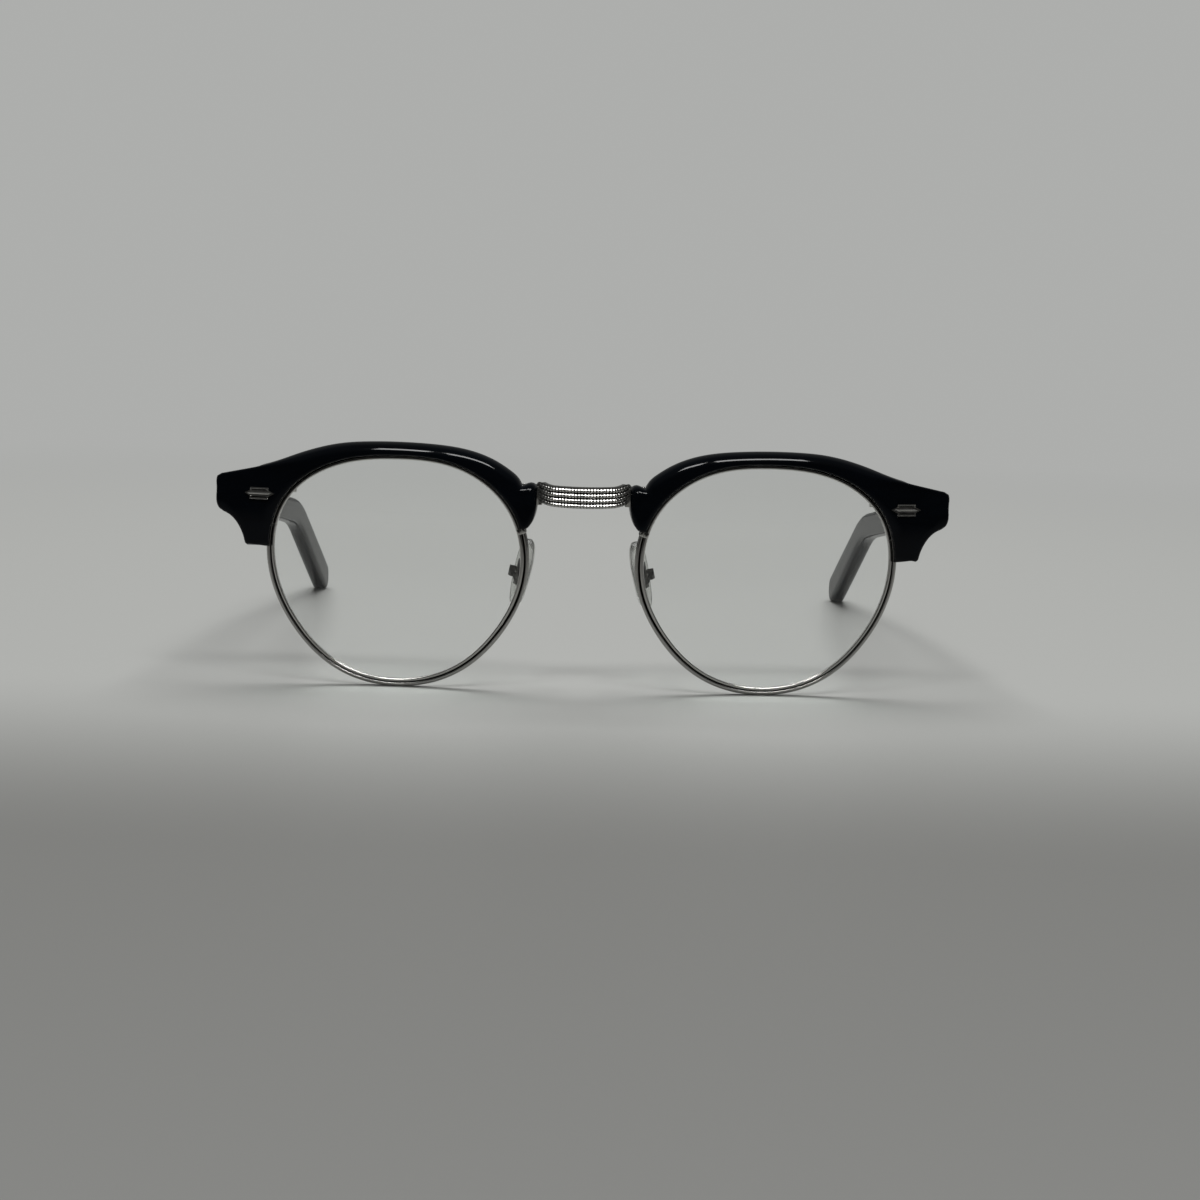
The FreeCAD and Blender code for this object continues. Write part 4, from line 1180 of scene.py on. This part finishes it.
# %% [markdown]
# ## Nose pads
# The pads are clear silicone moulded over a metal plate, drop-shaped and rounded all round. The
# outline could be extruded and bevelled, but a skin lets each ring shrink by its own amount, so
# the faces can be domed. It runs over the rim from one face to the other, and both are filled.

# %% Nose pad
PAD_HEIGHT = 13.4
PAD_WIDTH = 7.2
PAD_THICKNESS = 1.9
PAD_EDGE = 0.7
PAD_EDGE_DROP = 0.08
PAD_FACE = [(3.3, 0.0), (2.6, 0.0), (1.8, 0.02), (1.1, 0.05)]
PAD_SEGMENTS = 64
PAD_SHARES = [
    (0.0, 1.0), (0.72, 0.8), (1.0, 0.2), (0.86, -0.45), (0.42, -0.9),
    (0.0, -1.0), (-0.42, -0.9), (-0.86, -0.45), (-1.0, 0.2), (-0.72, 0.8)]

pad_outline = smooth_curve(np.array(PAD_SHARES) * (PAD_WIDTH / 2, PAD_HEIGHT / 2), PAD_SEGMENTS,
                           closed=True)


def pad_ring(inset, depth):
    """The outline, shrunk by this inset."""
    scale = np.array([1 - inset / (PAD_WIDTH / 2), 1 - inset / (PAD_HEIGHT / 2)])
    loop = pad_outline * scale
    return np.stack([np.full(PAD_SEGMENTS, depth), loop[:, 0], loop[:, 1]], axis=1)


def make_nose_pad():
    half = PAD_THICKNESS / 2
    rows = [(inset, half - drop) for inset, drop in PAD_FACE]
    rows += [(PAD_EDGE * (1 - math.cos(angle)), half - PAD_EDGE_DROP - PAD_EDGE * (1 - math.sin(angle)))
             for angle in reversed(ROUND_ANGLES)]
    rows += [(inset, -depth) for inset, depth in reversed(rows)]
    rings = [pad_ring(inset, -depth) for inset, depth in rows]
    return skin_over("left_pad_silicone", rings, PAD, smooth_angle=60)


nose_pad = make_nose_pad()
print(nose_pad.name, len(nose_pad.data.polygons), "faces")
dress(nose_pad, "nose_pad", "pad", clear_silicone)


# %% [markdown]
# ## Plaques
# Each end piece and each temple carries a small silver plaque: a long hexagon with a ridge, like
# a hipped roof, between two bars. The hexagon is a six-sided cylinder pulled long. Its front
# face is inset, squeezed to a ridge and drawn out. The bars and the short posts between them are
# bevelled blocks on a thin base, and two rivets go into the acetate. One plaque is made flat and
# copied to its two places.

# %% Plaque, drawn flat
PLAQUE_LENGTH = 6.2
PLAQUE_HEIGHT = 1.2
PLAQUE_POINT = 1.25
PLAQUE_FRONT = 0.55
PLAQUE_SHOULDER = 0.22
BAR_LENGTH = 3.8
BAR_HEIGHT = 0.3
BAR_GAP = 0.22
BAR_FRONT = 0.42
BASE_FRONT = 0.2
ROOF_INSET = 0.35
RIDGE_SHARE = 0.04
POST_WIDTH = 0.3
POST_HEIGHT = 0.5
RIVET_SPACING = 2.6
RIVET_RADIUS = 0.5
RIVET_LENGTH = 2.2
RIVET_FRONT = 0.1
PLAQUE_BEVEL = 0.06


def faces_facing(piece, direction):
    """Selects in edit mode only the faces that look this way."""
    bpy.ops.object.mode_set(mode="OBJECT")
    for part in (piece.data.vertices, piece.data.edges, piece.data.polygons):
        part.foreach_set("select", [False] * len(part))
    for face in piece.data.polygons:
        face.select = face.normal.dot(Vector(direction)) > 0.95
    bpy.ops.object.mode_set(mode="EDIT")
    bpy.ops.mesh.select_mode(type="FACE")


def plaque_roof():
    """A six-sided cylinder whose corners are set out as a hexagon, drawn up to a ridge."""
    bpy.ops.object.select_all(action="DESELECT")
    bpy.ops.mesh.primitive_cylinder_add(vertices=6, radius=1.0, depth=PLAQUE_SHOULDER,
                                        location=(0, 0, PLAQUE_SHOULDER / 2))
    roof = bpy.context.object
    apply_place()
    half, tall = PLAQUE_LENGTH / 2, PLAQUE_HEIGHT / 2
    for vertex in roof.data.vertices:
        side, up = round(vertex.co.y, 3), round(vertex.co.x, 3)
        pointed = abs(up) < 0.01
        vertex.co.x = math.copysign(half if pointed else half - PLAQUE_POINT, side)
        vertex.co.y = 0 if pointed else math.copysign(tall, up)
    faces_facing(roof, (0, 0, 1))
    bpy.ops.mesh.inset(thickness=ROOF_INSET)
    bpy.ops.transform.resize(value=(1.0, RIDGE_SHARE, 1.0))
    bpy.ops.transform.translate(value=(0, 0, PLAQUE_FRONT - PLAQUE_SHOULDER))
    bpy.ops.object.mode_set(mode="OBJECT")
    return roof


def plaque_block(width, height, low, high, middle):
    bpy.ops.object.select_all(action="DESELECT")
    bpy.ops.mesh.primitive_cube_add(size=1.0, location=(middle[0], middle[1], (low + high) / 2))
    block = bpy.context.object
    block.scale = (width, height, high - low)
    apply_place()
    bpy.ops.object.mode_set(mode="EDIT")
    bpy.ops.mesh.select_all(action="SELECT")
    bpy.ops.mesh.bevel(offset=PLAQUE_BEVEL, segments=2, affect="EDGES")
    bpy.ops.object.mode_set(mode="OBJECT")
    return block


def plaque_rivet(across):
    bpy.ops.object.select_all(action="DESELECT")
    bpy.ops.mesh.primitive_cylinder_add(vertices=16, radius=RIVET_RADIUS, depth=RIVET_LENGTH,
                                        location=(across, 0, RIVET_FRONT - RIVET_LENGTH / 2))
    apply_place()
    return bpy.context.object


def make_plaque():
    bar_rise = PLAQUE_HEIGHT / 2 + BAR_GAP + BAR_HEIGHT / 2
    post_across = (BAR_LENGTH - POST_WIDTH) / 2
    base = plaque_block(BAR_LENGTH - 0.2, 2 * bar_rise, 0, BASE_FRONT, (0, 0))
    bars = [plaque_block(BAR_LENGTH, BAR_HEIGHT, 0, BAR_FRONT, (0, side * bar_rise)) for side in (-1, 1)]
    posts = [plaque_block(POST_WIDTH, POST_HEIGHT, 0, BAR_FRONT - 0.04,
                          (side * post_across, up * (bar_rise - 0.2)))
             for side in (-1, 1) for up in (-1, 1)]
    rivets = [plaque_rivet(side * RIVET_SPACING / 2) for side in (-1, 1)]
    plaque = join_pieces([plaque_roof(), base] + bars + posts + rivets, "plaque")
    layer = plaque.data.attributes.new("tarnish_and_shade", "FLOAT", "POINT")
    for vertex, mark in zip(plaque.data.vertices, layer.data):
        low = vertex.co.z < BASE_FRONT + 0.01
        mark.value = float(low and abs(vertex.co.x) < BAR_LENGTH / 2)
    return plaque


# %% Plaques in their places
PLAQUE_FROM_LENS = 2.2
PLAQUE_RISE = 13.8
TEMPLE_PLAQUE_ALONG = 13.0
PLAQUE_LIFT = 0.03

stand_up = Matrix.Rotation(math.radians(90), 4, "X")
plaque_across = LENS_WIDTH / 2 + PLAQUE_FROM_LENS
plaque_depth = float(ball_depth((plaque_across, PLAQUE_RISE), -BROW_PROUD))
outward = Vector((plaque_across, plaque_depth - BALL_RADIUS, PLAQUE_RISE)).normalized()
on_ball = Vector((0, -1, 0)).rotation_difference(outward).to_matrix().to_4x4()
plaque_place = Vector((plaque_across, plaque_depth, PLAQUE_RISE)) + outward * PLAQUE_LIFT
FRONT_PLAQUE = SIDE @ Matrix.Translation(plaque_place) @ on_ball
TEMPLE_PLAQUE = (TEMPLE @ Matrix.Translation((TEMPLE_INSIDE + TEMPLE_THICKNESS, TEMPLE_PLAQUE_ALONG, 0))
                 @ Matrix.Rotation(math.radians(90), 4, "Z"))


flat_plaque = make_plaque()
for name, place, node, body in (("left_front_plaque_roof", FRONT_PLAQUE, "front_plaque", "front"),
                                ("left_temple_plaque_roof", TEMPLE_PLAQUE, "temple_plaque", "temple")):
    plaque = placed_copy(flat_plaque, name, place @ stand_up)
    dress(plaque, node, body, silver)
    print(name, len(plaque.data.polygons), "faces")
bpy.data.objects.remove(flat_plaque)


# %% [markdown]
# ## Hardware with broken edges
# Lugs, locks, hinges, clips and screws have the right shape already, down to their slots, but
# their edges are sharp as a knife, and real ones are tumbled until the edges catch the light. A
# copy of each is merged, its flat facets are joined, and a bevel modifier breaks its edges. The
# wire cores inside the temples stay as they are, because nothing of them shows.

# %% Softened copies of the hardware
HARDWARE = {
    "bridge_lug": ("lug_plate", "front", silver),
    "rim_lock_upper": ("lock_block_upper", "front", silver),
    "rim_lock_lower": ("lock_block_lower", "front", silver),
    "rim_lock_screw": ("lock_screw_slotted", "front", steel),
    "nasal_screw": ("nasal_screw_slotted", "front", steel),
    "temporal_screw": ("temporal_screw_slotted", "front", steel),
    "front_hinge": ("hinge_three_barrels", "front", steel),
    "temple_hinge": ("hinge_two_barrels", "temple", steel),
    "hinge_screw": ("hinge_screw_slotted", "front", steel),
    "pad_box": ("pad_clip", "front", dark_silver),
    "pad_arm": ("pad_wire", "front", dark_silver),
    "pad_screw": ("pad_screw_slotted", "front", steel),
    "pad_insert": ("pad_plate", "pad", dark_silver)}
EDGE_BREAK = 0.07
CLIP_EDGE_BREAK = 0.3
FLAT_WITHIN = math.radians(2)
SHARP_FROM = 40
PAD_PIVOT_DEPTH = 1.85
CLIP_SQUEEZE = 0.62
slot_of_node = {part["node"]: part["material_slot"] for part in frame["record"]["subparts"]}


def squeezed(piece):
    """Brings what lies behind the pad's pivot nearer to the pad."""
    pad_from_table = PAD.inverted()
    for vertex in piece.data.vertices:
        place = pad_from_table @ vertex.co
        if place.x > PAD_PIVOT_DEPTH:
            place.x = PAD_PIVOT_DEPTH + (place.x - PAD_PIVOT_DEPTH) * CLIP_SQUEEZE
            vertex.co = PAD @ place


def softened(node, label):
    """A merged copy of a CAD node, its edges broken by a bevel."""
    mesh = frame["nodes"]["left_" + node].data.copy()
    piece = bpy.data.objects.new("left_" + label, mesh)
    mesh.name = piece.name
    bpy.context.collection.objects.link(piece)
    tidy_mesh(piece, merge=2e-6)
    bpy.ops.object.mode_set(mode="EDIT")
    bpy.ops.mesh.dissolve_limited(angle_limit=FLAT_WITHIN)
    bpy.ops.object.mode_set(mode="OBJECT")
    if node in ("pad_box", "pad_arm"):
        squeezed(piece)
    bevel = piece.modifiers.new("edge_break", "BEVEL")
    bevel.width = (CLIP_EDGE_BREAK if node == "pad_box" else EDGE_BREAK) * MM
    bevel.segments = 3
    bevel.limit_method = "ANGLE"
    bevel.angle_limit = math.radians(SHARP_FROM)
    bpy.ops.object.modifier_apply(modifier=bevel.name)
    bpy.ops.object.shade_smooth_by_angle(angle=math.radians(SHARP_FROM))
    return piece


for node, (label, body, finish) in HARDWARE.items():
    piece = softened(node, label)
    dress(piece, node, body, finish)
    print(piece.name, len(piece.data.polygons), "faces")


# %% Finishes on the CAD nodes
finish_of_slot = {"acetate": acetate, "silver": silver, "steel": steel, "lens": lens_glass,
                  "clear_pad": clear_silicone}
for name, node in frame["nodes"].items():
    finished(node, finish_of_slot[slot_of_node[name]])
print(len(frame["nodes"]), "nodes given a finish")


# %% [markdown]
# ## Table and light
# The glasses stand on a plain pale table that fades into a plain pale room. Dark gloss and
# polished metal only look right when they have something to mirror: here the room is pale
# behind and dim on the camera's side, with two soft lamps overhead. The background the camera
# sees is set apart from the light, so it can be pale without any more light on the object. For
# the same reason metal and gloss mirror the table at half its brightness.

# %% Table
TABLE_COLOUR = (0.43, 0.435, 0.42)
# Painted shade: the table's colour darkens to this towards the camera, between FRONT_FROM and FRONT_TO.
TABLE_FRONT_SHADE = (0.2, 0.2, 0.192)
MIRRORED_SHARE = 0.5
ROOM_COLOUR = (0.42, 0.425, 0.415)
FRONT_FROM, FRONT_TO = -0.064, -0.21
FADE_FROM, FADE_TO = 0.2, 0.8


def seen_straight(tree):
    """1 for rays from the camera, and for those that glass lets through."""
    path = tree.nodes.new("ShaderNodeLightPath")
    return add_math(tree, "MAXIMUM", path.outputs["Is Camera Ray"], path.outputs["Is Transmission Ray"])


def make_table():
    """A table with painted shade towards the camera, where its colour darkens, that fades into the room further
    off.
    """
    bpy.ops.object.select_all(action="DESELECT")
    bpy.ops.mesh.primitive_plane_add(size=8.0, location=(0, 0, 0))
    table = bpy.context.object
    table.name = "table"
    material, tree, shader = new_finish("pale_table", Specular_IOR_Level=0.2)
    place = place_on_piece(tree)
    parts = add_node(tree, "ShaderNodeSeparateXYZ", {0: place})
    # Painted shade towards the camera.
    forward = add_ramp(tree, parts.outputs["Y"], FRONT_FROM, FRONT_TO, blend="SMOOTHSTEP")
    colour = mix_colours(tree, forward, TABLE_COLOUR, TABLE_FRONT_SHADE)
    path = tree.nodes.new("ShaderNodeLightPath")
    mirrored = add_math(tree, "SUBTRACT", path.outputs["Is Glossy Ray"], path.outputs["Is Transmission Ray"],
                        clamp=True)
    dimmer = add_math(tree, "MULTIPLY", mirrored, 1 - MIRRORED_SHARE)
    tree.links.new(mix_colours(tree, dimmer, colour, (0.0, 0.0, 0.0)), shader.inputs["Base Color"])
    add_marks(tree, shader, Roughness=0.55, Smudge=0.05, Scale=0.02)
    away = add_node(tree, "ShaderNodeVectorMath", {0: place}, operation="LENGTH").outputs["Value"]
    fade = add_ramp(tree, away, FADE_FROM, FADE_TO, blend="SMOOTHSTEP")
    share = add_math(tree, "MULTIPLY", fade, seen_straight(tree))
    haze = add_node(tree, "ShaderNodeEmission", {"Color": (*ROOM_COLOUR, 1.0), "Strength": 1.0})
    both = add_node(tree, "ShaderNodeMixShader", {0: share, 1: shader.outputs[0], 2: haze.outputs[0]})
    tree.links.new(both.outputs[0], tree.nodes["Material Output"].inputs["Surface"])
    table.data.materials.append(material)
    return table


table = make_table()


# %% Lamps
LAMPS = [("front_strip_left", (-0.182, -0.58, 0.7), (0, -0.08, 0.04), 0.196, 0.14, 12.0),
         ("front_strip_right", (0.157, -0.58, 0.7), (0, -0.08, 0.04), 0.357, 0.14, 12.0),
         ("broad_lamp", (0.0, 0.5, 1.3), (0, 0, 0), 1.2, 0.8, 6.15)]


def add_lamp(name, place, towards, width, depth, glow):
    """A soft rectangle. Its glow is brightness for its area, so a new size keeps its look."""
    bpy.ops.object.light_add(type="AREA", location=place)
    lamp = bpy.context.object
    lamp.name = name
    lamp.rotation_euler = (Vector(towards) - Vector(place)).to_track_quat("-Z", "Y").to_euler()
    lamp.data.shape = "RECTANGLE"
    lamp.data.size, lamp.data.size_y = width, depth
    lamp.data.energy = glow * math.pi * width * depth
    return lamp


lamps = [add_lamp(*lamp) for lamp in LAMPS]
lamps[-1].visible_glossy = False
print(len(lamps), "lamps")


# %% Room
ROOM_BACK = {"start": -0.35, "end": 0.45, "low": 0.04, "high": 0.32}
ROOM_ABOVE = {"start": 0.3, "end": 0.8, "low": 0.0, "high": 0.15}


def make_room():
    """Plain for the camera. As light it is pale behind and above, and dim on the camera's side."""
    world = bpy.data.worlds.new("pale_room")
    bpy.context.scene.world = world
    world.use_nodes = True
    tree = world.node_tree
    direction = tree.nodes.new("ShaderNodeTexCoord").outputs["Generated"]
    parts = add_node(tree, "ShaderNodeSeparateXYZ", {0: direction})
    behind = add_ramp(tree, parts.outputs["Y"], blend="SMOOTHSTEP", **ROOM_BACK)
    above = add_ramp(tree, parts.outputs["Z"], blend="SMOOTHSTEP", **ROOM_ABOVE)
    share = add_math(tree, "MAXIMUM", behind, above)
    lit, seen = (add_node(tree, "ShaderNodeBackground", {"Color": (*ROOM_COLOUR, 1.0), "Strength": strength})
                 for strength in (share, 1.0))
    choose = add_node(tree, "ShaderNodeMixShader", {0: seen_straight(tree), 1: lit.outputs[0],
                                                    2: seen.outputs[0]})
    tree.links.new(choose.outputs[0], tree.nodes["World Output"].inputs["Surface"])
    return world


room = make_room()
bpy.context.scene.view_settings.view_transform = "Standard"
print("table", table.name, "room", room.name)
